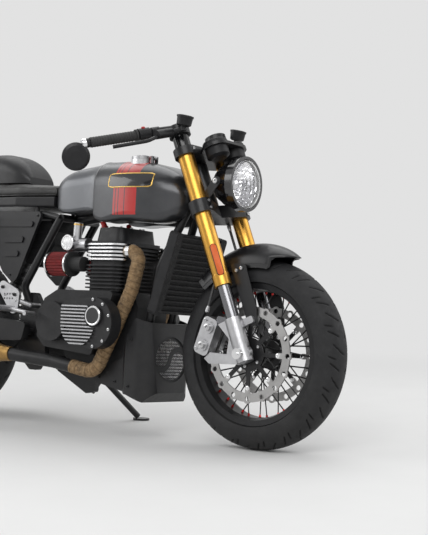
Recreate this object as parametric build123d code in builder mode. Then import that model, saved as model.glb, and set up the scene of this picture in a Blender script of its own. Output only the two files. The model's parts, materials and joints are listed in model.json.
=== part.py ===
"""Cafe racer motorcycle: an assembly of separate pieces, modelled upright and exported on its side stand.

Modelling frame in millimetres: X forward, Y to the rider's left, Z up, the ground line under the
tyres at Z = 0 and half the wheelbase at X = 0.  Every piece is written in the parked stance.
"""
import os
from math import asin, cos, pi, radians, sin, tan

from build123d import *

# Stance and wheels
lean = 5.0
wheelbase = 1415.0
front_tyre_radius = 300.0
front_tyre_width = 120.0
front_rim_half = 52.0
rear_tyre_radius = 312.0
rear_tyre_width = 160.0
rear_rim_half = 70.0
rim_lip = 224.0
rim_bed = 212.0
rim_inner = 199.0
spoke_count = 36
spoke_size = 2.3
axle_radius = 10.0
seat_gap = 0.3
running_gap = 0.05

# Steering and fork
rake = 22.8
trail = 92.0
leg_spacing = 105.0
fork_tube_radius = 27.0
stanchion_radius = 21.5
stanchion_foot = 113.0
fork_tube_foot = 226.0
lower_yoke_base = 474.0
lower_yoke_height = 44.0
top_yoke_base = 678.0
top_yoke_height = 28.0
fork_top = 792.0
stem_radius = 16.0
head_tube_radius = 29.0
clip_on_base = 752.0
gauge_reach = 84.0
gauge_plate = 10.0

# Brakes
front_disc_radius = 155.0
disc_thickness = 5.0
front_disc_offset = 70.0
disc_lobes = 16
rear_disc_radius = 110.0
rear_disc_offset = 92.0
chain_offset = 100.0

# Engine
crankcase_half = 138.0
sump_half = 78.0
cylinder_half = 114.0
fin_reach = 14.0
fin_pitch = 12.6
fin_thickness = 4.5
clutch_depth = 50.0
rib_count = 12
rib_pitch = 11.4
rib_width = 5.0
rib_height = 8.0
header_radius = 22.5

# Bodywork
headlamp_radius = 88.0
lamp_reach = 78.0
lamp_rise = 40.4
pan_half = 122.0
pan_tail_half = 90.0
pan_wall = 3.5
pan_corner = 66.0
grille_width = 84.0
grille_height = 76.0
grille_pitch = 10.5
gauge_radius = 38.0
gauge_spread = 47.0
fender_radius = 333.0
stand_reach = 285.0
box_half = 70.0

front_axle = Vector(wheelbase / 2, 0, front_tyre_radius)
rear_axle = Vector(-wheelbase / 2, 0, rear_tyre_radius)
fork_up = Vector(-sin(radians(rake)), 0, cos(radians(rake)))
fork_forward = Vector(cos(radians(rake)), 0, sin(radians(rake)))
contact_to_axle = Vector(-trail, 0, front_tyre_radius)
fork_offset = contact_to_axle.dot(fork_forward)
fork = Plane(origin=front_axle, x_dir=fork_forward, z_dir=fork_up)
side = Plane.XZ
pieces = {}


def fork_point(forward, across, up):
    """A point given along the fork: ahead of the axle, to the left, up the leg."""
    return front_axle + fork_forward * forward + Vector(0, across, 0) + fork_up * up


def ground_height(across):
    """Height of the ground in the upright frame, since the machine leans to its left."""
    return across * tan(radians(lean))


def rod(start, end, radius):
    """A round bar between two points."""
    run = Vector(*end) - Vector(*start)
    with BuildSketch(Plane(origin=start, z_dir=run)) as face:
        Circle(radius)
    extrude(face.sketch, amount=run.length)


def drill(start, end, radius):
    """A round hole between two points."""
    run = Vector(*end) - Vector(*start)
    with BuildSketch(Plane(origin=start, z_dir=run)) as face:
        Circle(radius)
    extrude(face.sketch, amount=run.length, mode=Mode.SUBTRACT)


def tube(points, bends, radius):
    """A round bar along straight runs with rounded bends."""
    with BuildLine() as route:
        FilletPolyline(*points, radius=bends)
    with BuildSketch(Plane(origin=route.line @ 0, z_dir=route.line % 0)) as face:
        Circle(radius)
    sweep(face.sketch, path=route.line)


def plate(outline, corner, near, far):
    """A flat plate with rounded corners, drawn in side view, from Y = near to Y = far."""
    with BuildSketch(side.offset(-near)) as face:
        with BuildLine():
            Polyline(*outline, close=True)
        make_face()
        fillet(face.vertices(), corner)
    extrude(face.sketch, amount=near - far)


def cross_sections(table, ruled=False):
    """Loft through rounded rectangles across the machine: x, half width, base, top, shoulder, foot."""
    faces = []
    for x, half, base, top, shoulder, foot in table:
        with BuildSketch(Plane(origin=(x, 0, 0), x_dir=(0, 1, 0), z_dir=(1, 0, 0))) as section:
            with Locations((0, (base + top) / 2)):
                Rectangle(2 * half, top - base)
            fillet(section.vertices().group_by(Axis.Y)[-1], shoulder)
            fillet(section.vertices().group_by(Axis.Y)[0], foot)
        faces.append(section.sketch.face())
    loft(faces, ruled=ruled)


def turned(axle, outline):
    """A ring turned about a wheel axle from points of (along the axle, away from it)."""
    with BuildSketch(Plane(origin=axle, x_dir=(0, 1, 0), z_dir=(1, 0, 0))) as face:
        with BuildLine():
            Polyline(*outline, close=True)
        make_face()
    revolve(face.sketch, axis=Axis(axle, (0, 1, 0)))


def round_bar(start, direction, profile):
    """A bar turned about its own line from rows of (distance along, radius)."""
    length = profile[-1][0]
    across = Vector(*direction).cross(Vector(0, 0, 1))
    with BuildSketch(Plane(origin=start, x_dir=direction, z_dir=across)) as face:
        with BuildLine():
            Polyline((profile[0][0], 0), *profile, (length, 0), close=True)
        make_face()
    revolve(face.sketch, axis=Axis(start, direction))


def tyre_outline(radius, width, rim_half):
    """Round crown in eight flats, sidewalls tucked inside the rim's lips, flat on the rim's bed."""
    crown = radius - width / 2
    low = asin((rim_lip + 3.5 - crown) / (width / 2))
    turns = [low + (pi - 2 * low) * step / 8 for step in range(9)]
    arc = [(width / 2 * cos(turn), crown + width / 2 * sin(turn)) for turn in turns]
    tuck = rim_half - 6.5
    bead = rim_half - 8.5
    right = [(bead, rim_bed + seat_gap), (tuck, rim_lip + 0.6)]
    left = [(-tuck, rim_lip + 0.6), (-bead, rim_bed + seat_gap)]
    return right + arc + left


def rim_outline(half):
    """Rim section: two lips, a bed between them and a narrower spoke face inside."""
    return [(-half, rim_lip), (6 - half, rim_lip), (8 - half, rim_bed), (half - 8, rim_bed),
            (half - 6, rim_lip), (half, rim_lip), (half - 3, rim_bed - 6), (half * 0.5, rim_inner),
            (-half * 0.5, rim_inner), (3 - half, rim_bed - 6)]


def spoke_set(axle, flange_radius, flange_half, rim_reach):
    """Crossed spokes from both hub flanges to the middle of the rim, fused to the hub."""
    bars = []
    for index in range(spoke_count):
        hand = 1 if index % 2 else -1
        cross = 38 if index % 4 < 2 else -38
        outer = radians(index * 360 / spoke_count)
        inner = outer + radians(cross)
        reach = rim_inner - 1.2
        start = axle + Vector(flange_radius * cos(inner), hand * flange_half, flange_radius * sin(inner))
        end = axle + Vector(reach * cos(outer), hand * rim_reach, reach * sin(outer))
        run = end - start
        with BuildSketch(Plane(origin=start, z_dir=run)) as face:
            RegularPolygon(spoke_size, 4)
        bars.append(Solid.extrude(face.sketch.face(), run))
    add(bars)


def wave_disc(axle, offset, radius, lobes, hole):
    """A brake disc with a lobed edge, drilled once in every lobe and tabbed for its carrier."""
    level = Plane(origin=axle + Vector(0, offset + disc_thickness / 2, 0), x_dir=(1, 0, 0), z_dir=(0, -1, 0))
    with BuildSketch(level) as face:
        RegularPolygon(radius - 5, 48)
        with PolarLocations(radius - 13, lobes):
            RegularPolygon(13, 10)
        Circle(radius - 33, mode=Mode.SUBTRACT)
        with PolarLocations(radius - 15, lobes):
            RegularPolygon(hole, 8, mode=Mode.SUBTRACT)
        with PolarLocations(radius - 38, 8):
            Rectangle(22, 18)
    extrude(face.sketch, amount=disc_thickness)


# Front wheel
with BuildPart() as front_tyre:
    turned(front_axle, tyre_outline(front_tyre_radius, front_tyre_width, front_rim_half))
pieces["front_tyre"] = front_tyre.part

with BuildPart() as front_rim:
    turned(front_axle, rim_outline(front_rim_half))
pieces["front_rim"] = front_rim.part

with BuildPart() as front_hub:
    turned(front_axle, [(-72, axle_radius + running_gap), (72, axle_radius + running_gap), (72, 30), (50, 30),
                        (50, 46), (40, 46), (34, 26), (-34, 26), (-40, 46), (-50, 46), (-50, 30), (-72, 30)])
    spoke_set(front_axle, 41, 45, 6)
    for hand in (-1, 1):
        carrier = Plane(origin=front_axle + Vector(0, hand * front_disc_offset + 2.5, 0),
                        x_dir=(1, 0, 0), z_dir=(0, -1, 0))
        with BuildSketch(carrier):
            Circle(52)
            with PolarLocations(77.5, 8):
                Rectangle(56, 13)
            Circle(28, mode=Mode.SUBTRACT)
        extrude(amount=disc_thickness)
pieces["front_hub"] = front_hub.part

with BuildPart() as front_discs:
    wave_disc(front_axle, front_disc_offset, front_disc_radius, disc_lobes, 8.5)
    wave_disc(front_axle, -front_disc_offset, front_disc_radius, disc_lobes, 8.5)
pieces["front_discs"] = front_discs.part

# Rear wheel
with BuildPart() as rear_tyre:
    turned(rear_axle, tyre_outline(rear_tyre_radius, rear_tyre_width, rear_rim_half))
pieces["rear_tyre"] = rear_tyre.part

with BuildPart() as rear_rim:
    turned(rear_axle, rim_outline(rear_rim_half))
pieces["rear_rim"] = rear_rim.part

with BuildPart() as rear_hub:
    turned(rear_axle, [(-96, axle_radius + running_gap), (106, axle_radius + running_gap), (106, 34), (60, 34),
                       (60, 56), (50, 56), (42, 32), (-42, 32), (-50, 56), (-60, 56), (-60, 34), (-96, 34)])
    spoke_set(rear_axle, 50, 55, 8)
    with BuildSketch(Plane(origin=rear_axle + Vector(0, chain_offset + 4, 0), x_dir=(1, 0, 0), z_dir=(0, -1, 0))):
        Circle(84)
        with PolarLocations(84, 42):
            Rectangle(7, 6)
        with PolarLocations(58, 6):
            RegularPolygon(15, 10, mode=Mode.SUBTRACT)
        Circle(30, mode=Mode.SUBTRACT)
    extrude(amount=8)
pieces["rear_hub"] = rear_hub.part

with BuildPart() as rear_disc:
    wave_disc(rear_axle, -rear_disc_offset, rear_disc_radius, 12, 7)
    with BuildSketch(Plane(origin=rear_axle + Vector(0, -rear_disc_offset + 2.5, 0), x_dir=(1, 0, 0),
                           z_dir=(0, -1, 0))):
        with PolarLocations(54, 8):
            Rectangle(40, 12)
        Circle(46)
        Circle(34 + seat_gap, mode=Mode.SUBTRACT)
    extrude(amount=disc_thickness)
pieces["rear_disc"] = rear_disc.part

# Steering
with BuildPart() as lower_yoke:
    for hand in (-1, 1):
        with BuildSketch(fork.offset(lower_yoke_base)):
            with Locations((0, hand * leg_spacing)):
                Circle(fork_tube_radius + 10)
            with Locations((-fork_offset, 0)):
                Circle(30)
            make_hull()
        extrude(amount=lower_yoke_height)
    with BuildSketch(fork.offset(lower_yoke_base)):
        with Locations((0, leg_spacing), (0, -leg_spacing)):
            Circle(fork_tube_radius + seat_gap)
    extrude(amount=lower_yoke_height, mode=Mode.SUBTRACT)
    with BuildSketch(fork.offset(lower_yoke_base)):
        with Locations((-fork_offset, 0)):
            Circle(stem_radius)
    extrude(amount=top_yoke_base + top_yoke_height + 8 - lower_yoke_base)
pieces["lower_yoke"] = lower_yoke.part

with BuildPart() as top_yoke:
    with BuildSketch(fork.offset(top_yoke_base)):
        with Locations((0, leg_spacing), (0, -leg_spacing)):
            Circle(fork_tube_radius + 10)
        with Locations((-fork_offset, 0)):
            Circle(32)
        make_hull()
        with Locations((0, leg_spacing), (0, -leg_spacing)):
            Circle(fork_tube_radius + seat_gap, mode=Mode.SUBTRACT)
        with Locations((-fork_offset, 0)):
            Circle(stem_radius + seat_gap, mode=Mode.SUBTRACT)
    extrude(amount=top_yoke_height)
    with BuildSketch(fork.offset(top_yoke_base)):
        with Locations((gauge_reach, gauge_spread), (gauge_reach, -gauge_spread)):
            Circle(gauge_radius + 9)
        with Locations((20, 0)):
            Rectangle(30, 70)
        make_hull()
        with Locations((gauge_reach, gauge_spread), (gauge_reach, -gauge_spread)):
            Circle(gauge_radius + seat_gap, mode=Mode.SUBTRACT)
        with Locations((-fork_offset, 0)):
            Circle(stem_radius + seat_gap, mode=Mode.SUBTRACT)
    extrude(amount=gauge_plate)
pieces["top_yoke"] = top_yoke.part

with BuildPart() as fork_tubes:
    round_bar(fork_point(0, -leg_spacing, 0), fork_up,
              [(fork_tube_foot, 22), (fork_tube_foot, 29), (fork_tube_foot + 36, 29), (fork_tube_foot + 40, 27),
               (fork_top - 12, 27), (fork_top - 10, 24), (fork_top, 22)])
    mirror(about=Plane.XZ)
pieces["fork_tubes"] = fork_tubes.part

caliper_arms = [(-10, 122), (20, 122), (24, 60), (26, -20), (-20, -28), (-128, 14), (-140, 36), (-112, 46),
                (-54, 18), (-30, 60), (-52, 112), (-68, 128), (-44, 142)]
with BuildPart() as fork_lowers:
    rod(fork_point(0, -leg_spacing, 60), fork_point(0, -leg_spacing, fork_tube_foot - seat_gap), stanchion_radius)
    with BuildSketch(fork.offset(stanchion_foot - 140)):
        with Locations((0, -leg_spacing)):
            Circle(27)
    extrude(amount=144)
    arm = Plane(origin=fork_point(0, -leg_spacing - 9, 0), x_dir=fork_forward, z_dir=(0, -1, 0))
    with BuildSketch(arm):
        Circle(30)
        with BuildLine():
            Polyline(*caliper_arms, close=True)
        make_face()
    extrude(amount=-18)
    with BuildSketch(Plane(origin=fork_point(30, -82 - seat_gap, 94), x_dir=fork_forward, z_dir=(0, -1, 0))):
        RectangleRounded(64, 22, 6)
    extrude(amount=12)
    with BuildSketch(arm.offset(40)):
        Circle(axle_radius + seat_gap)
    extrude(amount=-80, mode=Mode.SUBTRACT)
    mirror(about=Plane.XZ)
pieces["fork_lowers"] = fork_lowers.part

with BuildPart() as front_axle_pin:
    rod(front_axle - Vector(0, 132, 0), front_axle + Vector(0, 132, 0), axle_radius)
    rod(front_axle + Vector(0, 132, 0), front_axle + Vector(0, 144, 0), 17)
    rod(front_axle - Vector(0, 144, 0), front_axle - Vector(0, 132, 0), 17)
    rod(front_axle - Vector(0, 150, 0), front_axle + Vector(0, 150, 0), 6)
pieces["front_axle"] = front_axle_pin.part

caliper_turn = 137.7
caliper_reach = 148.0
with BuildPart() as front_calipers:
    spot = front_axle + fork_forward * (caliper_reach * cos(radians(caliper_turn)))
    spot += fork_up * (caliper_reach * sin(radians(caliper_turn)))
    radial = fork_forward * cos(radians(caliper_turn)) + fork_up * sin(radians(caliper_turn))
    face = Plane(origin=spot + Vector(0, -118, 0), x_dir=radial, z_dir=(0, -1, 0))
    with BuildSketch(face):
        RectangleRounded(56, 122, 16)
    extrude(amount=-78)
    with BuildSketch(face.offset(-40)):
        with Locations((-20, 0)):
            Rectangle(80, 150)
    extrude(amount=-16, mode=Mode.SUBTRACT)
    with BuildSketch(face):
        with Locations((-2, 30), (-2, -30)):
            Circle(19)
    extrude(amount=5)
    with BuildSketch(arm.offset(1)):
        with BuildLine():
            Polyline(*caliper_arms, close=True)
        make_face()
        offset(amount=1, kind=Kind.INTERSECTION)
    extrude(amount=-20, mode=Mode.SUBTRACT)
    mirror(about=Plane.XZ)
pieces["front_calipers"] = front_calipers.part

fender_back = 44.0
# Lower edge in side view: angle from straight ahead, depth below the crown
fender_skirt = [(135.3, 41.3), (122, 123), (94.5, 110.3), (77.3, 48.1), (68.2, 3.4), (62, -40), (138, -40)]
with BuildPart() as front_fender:
    turn = radians(fender_back)
    with BuildSketch(Plane(origin=front_axle, x_dir=(0, 1, 0), z_dir=(cos(turn), 0, sin(turn)))):
        with BuildLine():
            ThreePointArc((-66, fender_radius - 24), (0, fender_radius), (66, fender_radius - 24))
            Polyline((66, fender_radius - 24), (69, fender_radius - 62), (66, fender_radius - 62),
                     (63, fender_radius - 26))
            ThreePointArc((63, fender_radius - 26), (0, fender_radius - 3), (-63, fender_radius - 26))
            Polyline((-63, fender_radius - 26), (-66, fender_radius - 62), (-69, fender_radius - 62),
                     (-66, fender_radius - 24))
        make_face()
    revolve(axis=Axis(front_axle, (0, 1, 0)), revolution_arc=66)
    skirt = []
    for angle, depth in fender_skirt:
        reach = fender_radius - depth
        skirt.append((front_axle.X + reach * cos(radians(angle)), front_axle.Z + reach * sin(radians(angle))))
    with BuildSketch(side):
        with BuildLine():
            Polyline(*skirt, close=True)
        make_face()
    extrude(amount=100, both=True, mode=Mode.INTERSECT)
    nose = front_axle.X + fender_radius * cos(radians(68.2))
    with BuildSketch(Plane.XY.offset(front_axle.Z)):
        with BuildLine():
            Polyline((nose - 340, -80), (nose - 96, -80), (nose - 31, -46), (nose - 3, -14), (nose - 3, 14),
                     (nose - 31, 46), (nose - 96, 80), (nose - 340, 80), close=True)
        make_face()
    extrude(amount=fender_radius + 40, mode=Mode.INTERSECT)
    for hand in (-1, 1):
        guard = Plane(origin=fork_point(0, hand * 80 + 2, 0), x_dir=fork_forward, z_dir=(0, -1, 0))
        with BuildSketch(guard) as face:
            with BuildLine():
                Polyline((32, fender_radius - 41), (86, fender_radius - 63), (80, 130), (62, 74), (40, 74),
                         (32, 110), close=True)
            make_face()
            fillet(face.vertices(), 8)
        extrude(amount=4)
        bridge = fork_point(58, hand * 73.5 + 8.5, fender_radius - 67)
        with BuildSketch(Plane(origin=bridge, x_dir=fork_forward, z_dir=(0, -1, 0))):
            Rectangle(34, 18)
        extrude(amount=17)
pieces["front_fender"] = front_fender.part

lamp_pivot = fork_point(lamp_reach, 0, lower_yoke_base + lower_yoke_height + lamp_rise)
lamp_back = lamp_pivot.X - 58
lamp_height = lamp_pivot.Z
with BuildPart() as headlamp:
    round_bar(Vector(lamp_back, 0, lamp_height), (1, 0, 0),
              [(0, 30), (14, 52), (40, 70), (80, headlamp_radius - 4), (86, headlamp_radius + 2),
               (112, headlamp_radius + 2), (112, headlamp_radius - 8), (100, headlamp_radius - 10)])
    with BuildSketch(side) as bowl:
        with BuildLine():
            Polyline((lamp_back + 28, lamp_height), (lamp_back + 28, lamp_height + 30),
                     (lamp_back + 50, lamp_height + 56), (lamp_back + 100, lamp_height + headlamp_radius - 14),
                     (lamp_back + 100, lamp_height), close=True)
        make_face()
    revolve(bowl.sketch, axis=Axis((lamp_back, 0, lamp_height), (1, 0, 0)), mode=Mode.SUBTRACT)
    round_bar(Vector(lamp_back + 24, 0, lamp_height), (1, 0, 0), [(0, 9), (38, 9), (38, 17), (46, 17), (50, 12)])
    for hand in (-1, 1):
        rod((lamp_pivot.X, hand * 68, lamp_height), (lamp_pivot.X, hand * (headlamp_radius + 2.7), lamp_height), 9)
pieces["headlamp"] = headlamp.part

lens_radius = headlamp_radius - 10.5
with BuildPart() as headlamp_lens:
    round_bar(Vector(lamp_back + 100 + seat_gap, 0, lamp_height), (1, 0, 0),
              [(0, lens_radius), (13, lens_radius), (20, lens_radius * 0.73), (25, lens_radius * 0.44),
               (27.5, lens_radius * 0.15)])
pieces["headlamp_lens"] = headlamp_lens.part

yoke_top = lower_yoke_base + lower_yoke_height + seat_gap
with BuildPart() as headlamp_stays:
    ear = Plane(origin=front_axle - Vector(0, headlamp_radius + 3, 0), x_dir=fork_forward, z_dir=(0, -1, 0))
    with BuildSketch(ear):
        with Locations((lamp_reach, lower_yoke_base + lower_yoke_height + lamp_rise)):
            Circle(15)
        with Locations((31, yoke_top + 3.8), (31, yoke_top + 24)):
            Circle(3.8)
        make_hull()
    extrude(amount=6)
    mirror(about=Plane.XZ)
pieces["headlamp_stays"] = headlamp_stays.part

gauge_rim = top_yoke_base + gauge_plate + seat_gap
with BuildPart() as gauges:
    for hand in (-1, 1):
        round_bar(fork_point(gauge_reach, hand * gauge_spread, 0), fork_up,
                  [(gauge_rim - 46, gauge_radius - 12), (gauge_rim - 38, gauge_radius),
                   (gauge_rim, gauge_radius), (gauge_rim, gauge_radius + 5),
                   (gauge_rim + 10, gauge_radius + 4), (gauge_rim + 12, gauge_radius + 2),
                   (gauge_rim + 12, gauge_radius - 1), (gauge_rim + 9, gauge_radius - 1)])
pieces["gauges"] = gauges.part

bar_root = fork_point(-4.7, -leg_spacing - 32, clip_on_base + 20.2)
bar_tip = bar_root + Vector(-147, -233, -70)
bar_way = (bar_tip - bar_root).normalized()
with BuildPart() as handlebars:
    with BuildSketch(fork.offset(clip_on_base)):
        with Locations((0, -leg_spacing)):
            Circle(fork_tube_radius + 9)
    extrude(amount=34)
    rod(bar_root, bar_tip, 11)
    with BuildSketch(fork.offset(clip_on_base - 5)):
        with Locations((0, -leg_spacing)):
            Circle(fork_tube_radius + seat_gap)
    extrude(amount=50, mode=Mode.SUBTRACT)
    mirror(about=Plane.XZ)
pieces["handlebars"] = handlebars.part

with BuildPart() as grips:
    rod(bar_tip - bar_way * 158, bar_tip - bar_way * 4, 16)
    rod(bar_tip - bar_way * 164, bar_tip - bar_way * 158, 20)
    with BuildSketch(Plane(origin=bar_tip - bar_way * 170, z_dir=bar_way)):
        Circle(11 + seat_gap)
    extrude(amount=180, mode=Mode.SUBTRACT)
    mirror(about=Plane.XZ)
pieces["grips"] = grips.part

with BuildPart() as controls:
    rod(bar_tip - bar_way * 206, bar_tip - bar_way * 168, 21)
    rod(bar_tip - bar_way * 240, bar_tip - bar_way * 214, 19)
    perch = bar_tip - bar_way * 227
    rod(perch + Vector(14, 0, 4), perch + Vector(46, 26, 12), 13)
    rod(perch + Vector(50, 20, 2), perch + Vector(40, -44, -16), 15)
    reservoir = bar_root + Vector(58, -13, 8)
    rod(perch + Vector(50, 18, 2), reservoir - Vector(0, 0, 8), 8)
    rod(reservoir - Vector(0, 0, 14), reservoir + Vector(0, 0, 4), 10)
    round_bar(reservoir, (0.17, 0, 0.985), [(0, 18), (4, 24), (28, 26), (28, 28), (34, 28), (36, 20)])
    tube([perch + Vector(44, -34, -18), perch + Vector(40, -84, -42), bar_tip + Vector(74, 32, -12)], 30, 6)
    drill(bar_tip - bar_way * 290, bar_tip - bar_way * 160, 11 + seat_gap)
    mirror(about=Plane.XZ)
pieces["controls"] = controls.part

mirror_spot = bar_tip + Vector(-21, -32, -48)
mirror_face = Vector(0.78, -0.58, -0.22).normalized()
with BuildPart() as mirrors:
    rod(bar_tip + bar_way * seat_gap, bar_tip + bar_way * 22, 15)
    rod(bar_tip + bar_way * 14, mirror_spot + Vector(4, 4, 30), 6)
    round_bar(mirror_spot - mirror_face * 8, mirror_face, [(0, 43), (2, 45), (9, 45), (14, 36), (17, 18)])
    mirror(about=Plane.XZ)
pieces["mirrors"] = mirrors.part

with BuildPart() as brake_hoses:
    tube([fork_point(-36, -86, lower_yoke_base - seat_gap), fork_point(-36, -86, 260),
          fork_point(-92, -100, 172)], 40, 4.5)
    mirror(about=Plane.XZ)
pieces["brake_hoses"] = brake_hoses.part

# Frame and rear suspension
pivot = Vector(-225, 0, 330)
spine_front = Vector(440, 0, 815)
spine_back = Vector(-105, 0, 735)
spine_radius = 24.0
stand_pivot = Vector(-60, 124, 176)
stand_foot = Vector(0, stand_reach, ground_height(stand_reach))
stand_way = (stand_foot - stand_pivot).normalized()
stand_folded = Vector(-1, 0.05, -0.02).normalized()
stand_axis = stand_way.cross(stand_folded).normalized()
with BuildPart() as frame:
    rod(spine_front, spine_back, spine_radius)
    rod((-105, -95, 735), (-105, 95, 735), 14)
    rod((-590, -92, 758), (-590, 92, 758), 10)
    rod((-185, -70, 235), (-185, 70, 235), 12)
    for hand in (-1, 1):
        tube([(422, hand * 20, 800), (322, hand * 60, 565), (286, hand * 60, 330)], 60, 14)
        rod((286, hand * 60, 345), (252 + seat_gap, hand * 60, 345), 13)
        rod((345, hand * 50, 620), (401.8, hand * 50, 620), 8)
        rod((-180, hand * 70, 360), (-142 - seat_gap, hand * 70, 360), 12)
        rod((-220, hand * 94, 750), (-220, hand * 94, 775 - 2 * seat_gap), 8)
        rod((-480, hand * 93, 754), (-480, hand * 93, 777.5 - 2 * seat_gap), 8)
        tube([(-105, hand * 95, 735), (-170, hand * 95, 748), (-600, hand * 92, 758)], 60, 11)
        tube([(-105, hand * 95, 735), (-262, hand * 95, 490), (-243, hand * 72, 415)], 40, 14)
        rod((-455, hand * 80, 738), (-455, hand * 176, 738), 8)
        rod((-455, hand * 93, 738), (-455, hand * 93, 756), 10)
        plate([(-290, 250), (-290, 420), (-262, 470), (-215, 470), (-170, 400), (-156, 250), (-190, 196),
               (-230, 196)], 16, hand * 70 + 10, hand * 70 - 10)
    plate([(-230, 196), (-200, 236), (-150, 240), (-40, 196), (-36, 128), (-80, 120)], 10, 80, 60)
    rod(stand_pivot - stand_axis * 70, stand_pivot + stand_axis * 13, 8)
    rod(stand_pivot + stand_axis * 12.6, stand_pivot + stand_axis * 18, 13)
    rod(fork_point(-fork_offset, 0, lower_yoke_base + lower_yoke_height + 4),
        fork_point(-fork_offset, 0, top_yoke_base - 4), head_tube_radius)
    with BuildSketch(fork.offset(lower_yoke_base)):
        with Locations((-fork_offset, 0)):
            Circle(stem_radius + 0.4)
    extrude(amount=260, mode=Mode.SUBTRACT)
    with BuildSketch(side.offset(-120)):
        with Locations((pivot.X, pivot.Z)):
            Circle(12 + seat_gap)
    extrude(amount=240, mode=Mode.SUBTRACT)
pieces["frame"] = frame.part

with BuildPart() as side_stand:
    rod(stand_pivot - stand_axis * 12, stand_pivot + stand_axis * 12, 18)
    rod(stand_pivot, stand_foot - stand_way * 20, 11)
    sole = Plane(origin=stand_foot, x_dir=(1, 0, 0), z_dir=(0, -sin(radians(lean)), cos(radians(lean))))
    with BuildSketch(sole):
        SlotCenterToCenter(26, 40)
    extrude(amount=7)
    with BuildSketch(Plane(origin=stand_pivot - stand_axis * 20, z_dir=stand_axis)):
        Circle(8 + seat_gap)
    extrude(amount=40, mode=Mode.SUBTRACT)
pieces["side_stand"] = side_stand.part

tail = rear_axle.X
arm_outer = 146.0
shock_low = Vector(tail + 77.5, -161, 334)
with BuildPart() as swingarm:
    rod((pivot.X, -120, pivot.Z), (pivot.X, 120, pivot.Z), 12)
    for hand in (-1, 1):
        plate([(-196, 362), (-214, 300), (tail + 47, 280), (tail - 33, 282), (tail - 45, 332), (tail + 17, 352),
               (-330, 374)], 12, hand * (arm_outer - 30), hand * arm_outer)
        rod((shock_low.X, hand * (arm_outer - 6), shock_low.Z),
            (shock_low.X, hand * (arm_outer + 30), shock_low.Z), 8)
    plate([(-352, 348), (-304, 350), (-304, 318), (-352, 314)], 8, 118, -118)
    with BuildSketch(side.offset(-200)):
        with Locations((rear_axle.X, rear_axle.Z)):
            Circle(axle_radius + seat_gap)
    extrude(amount=400, mode=Mode.SUBTRACT)
pieces["swingarm"] = swingarm.part

boss_length = 24.0
bobbin_depth = 20.0
bobbin_radius = 4.0
boss_face = arm_outer + seat_gap + boss_length
# The left boss stands further forward, clear of the chain's run
with BuildPart() as swingarm_bosses:
    for hand, spot in ((-1, tail + 51.5), (1, tail + 66)):
        rod((spot, hand * (arm_outer + seat_gap), 304), (spot, hand * boss_face, 304), 12)
        drill((spot, hand * (boss_face - bobbin_depth), 304), (spot, hand * boss_face, 304), bobbin_radius)
pieces["swingarm_bosses"] = swingarm_bosses.part

with BuildPart() as rear_axle_pin:
    rod(rear_axle - Vector(0, arm_outer + seat_gap, 0), rear_axle + Vector(0, arm_outer + seat_gap, 0),
        axle_radius)
    rod(rear_axle + Vector(0, arm_outer + seat_gap, 0), rear_axle + Vector(0, arm_outer + 12, 0), 17)
    rod(rear_axle - Vector(0, arm_outer + 12, 0), rear_axle - Vector(0, arm_outer + seat_gap, 0), 17)
pieces["rear_axle"] = rear_axle_pin.part

shock_high = Vector(-455, -161, 738)
shock_way = (shock_high - shock_low).normalized()
shock_length = (shock_high - shock_low).length
coil_count = 6
with BuildPart() as rear_shocks:
    coils = []
    for index in range(coil_count):
        start = 92 + index * 36
        coils += [(start, 26), (start + 10, 31), (start + 20, 31), (start + 30, 26)]
    round_bar(shock_low, shock_way, [(12, 9), (74, 9), (78, 30), (90, 30)] + coils
              + [(312, 30), (326, 30), (332, 22), (shock_length - 28, 22), (shock_length - 12, 10)])
    for eye in (shock_low, shock_high):
        rod(eye + Vector(0, 12, 0), eye - Vector(0, 12, 0), 17)
        with BuildSketch(side.offset(140)):
            with Locations((eye.X, eye.Z)):
                Circle(8 + seat_gap)
        extrude(amount=50, mode=Mode.SUBTRACT)
    mirror(about=Plane.XZ)
pieces["rear_shocks"] = rear_shocks.part

with BuildPart() as rear_caliper:
    plate([(tail + 65.5, 268), (tail + 65.5, 356), (tail + 123.5, 356), (tail + 123.5, 268)], 10, -72,
          seat_gap - arm_outer + 30)
    with BuildSketch(side.offset(84.5)):
        with Locations((rear_axle.X, rear_axle.Z)):
            Circle(rear_disc_radius + 8)
    extrude(amount=15, mode=Mode.SUBTRACT)
pieces["rear_caliper"] = rear_caliper.part

sprocket_front = Vector(-115, 0, 334)
chain_pitch_rear = 101.0
chain_pitch_front = 40.0
link_count = 46
with BuildPart() as chain:
    with BuildSketch(side.offset(-chain_offset)) as pitch_line:
        with Locations((rear_axle.X, rear_axle.Z)):
            Circle(chain_pitch_rear)
        with Locations((sprocket_front.X, sprocket_front.Z)):
            Circle(chain_pitch_front)
        make_hull()
    loop = pitch_line.sketch.face().outer_wire()
    extrude(amount=4, both=True)
    with BuildSketch(side.offset(-chain_offset)):
        with Locations((rear_axle.X, rear_axle.Z)):
            Circle(chain_pitch_rear - 5)
        with Locations((sprocket_front.X, sprocket_front.Z)):
            Circle(chain_pitch_front - 5)
        make_hull()
    extrude(amount=10, both=True, mode=Mode.SUBTRACT)
    spots = []
    for step in range(link_count):
        spot = loop.position_at(step / link_count)
        way = loop.tangent_at(step / link_count)
        for shift in (6, -6):
            spots.append(Plane(origin=spot + Vector(0, shift, 0), x_dir=way, z_dir=(0, -1, 0)).location)
    with Locations(*spots):
        Box(24, 12, 5)
pieces["chain"] = chain.part

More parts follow.
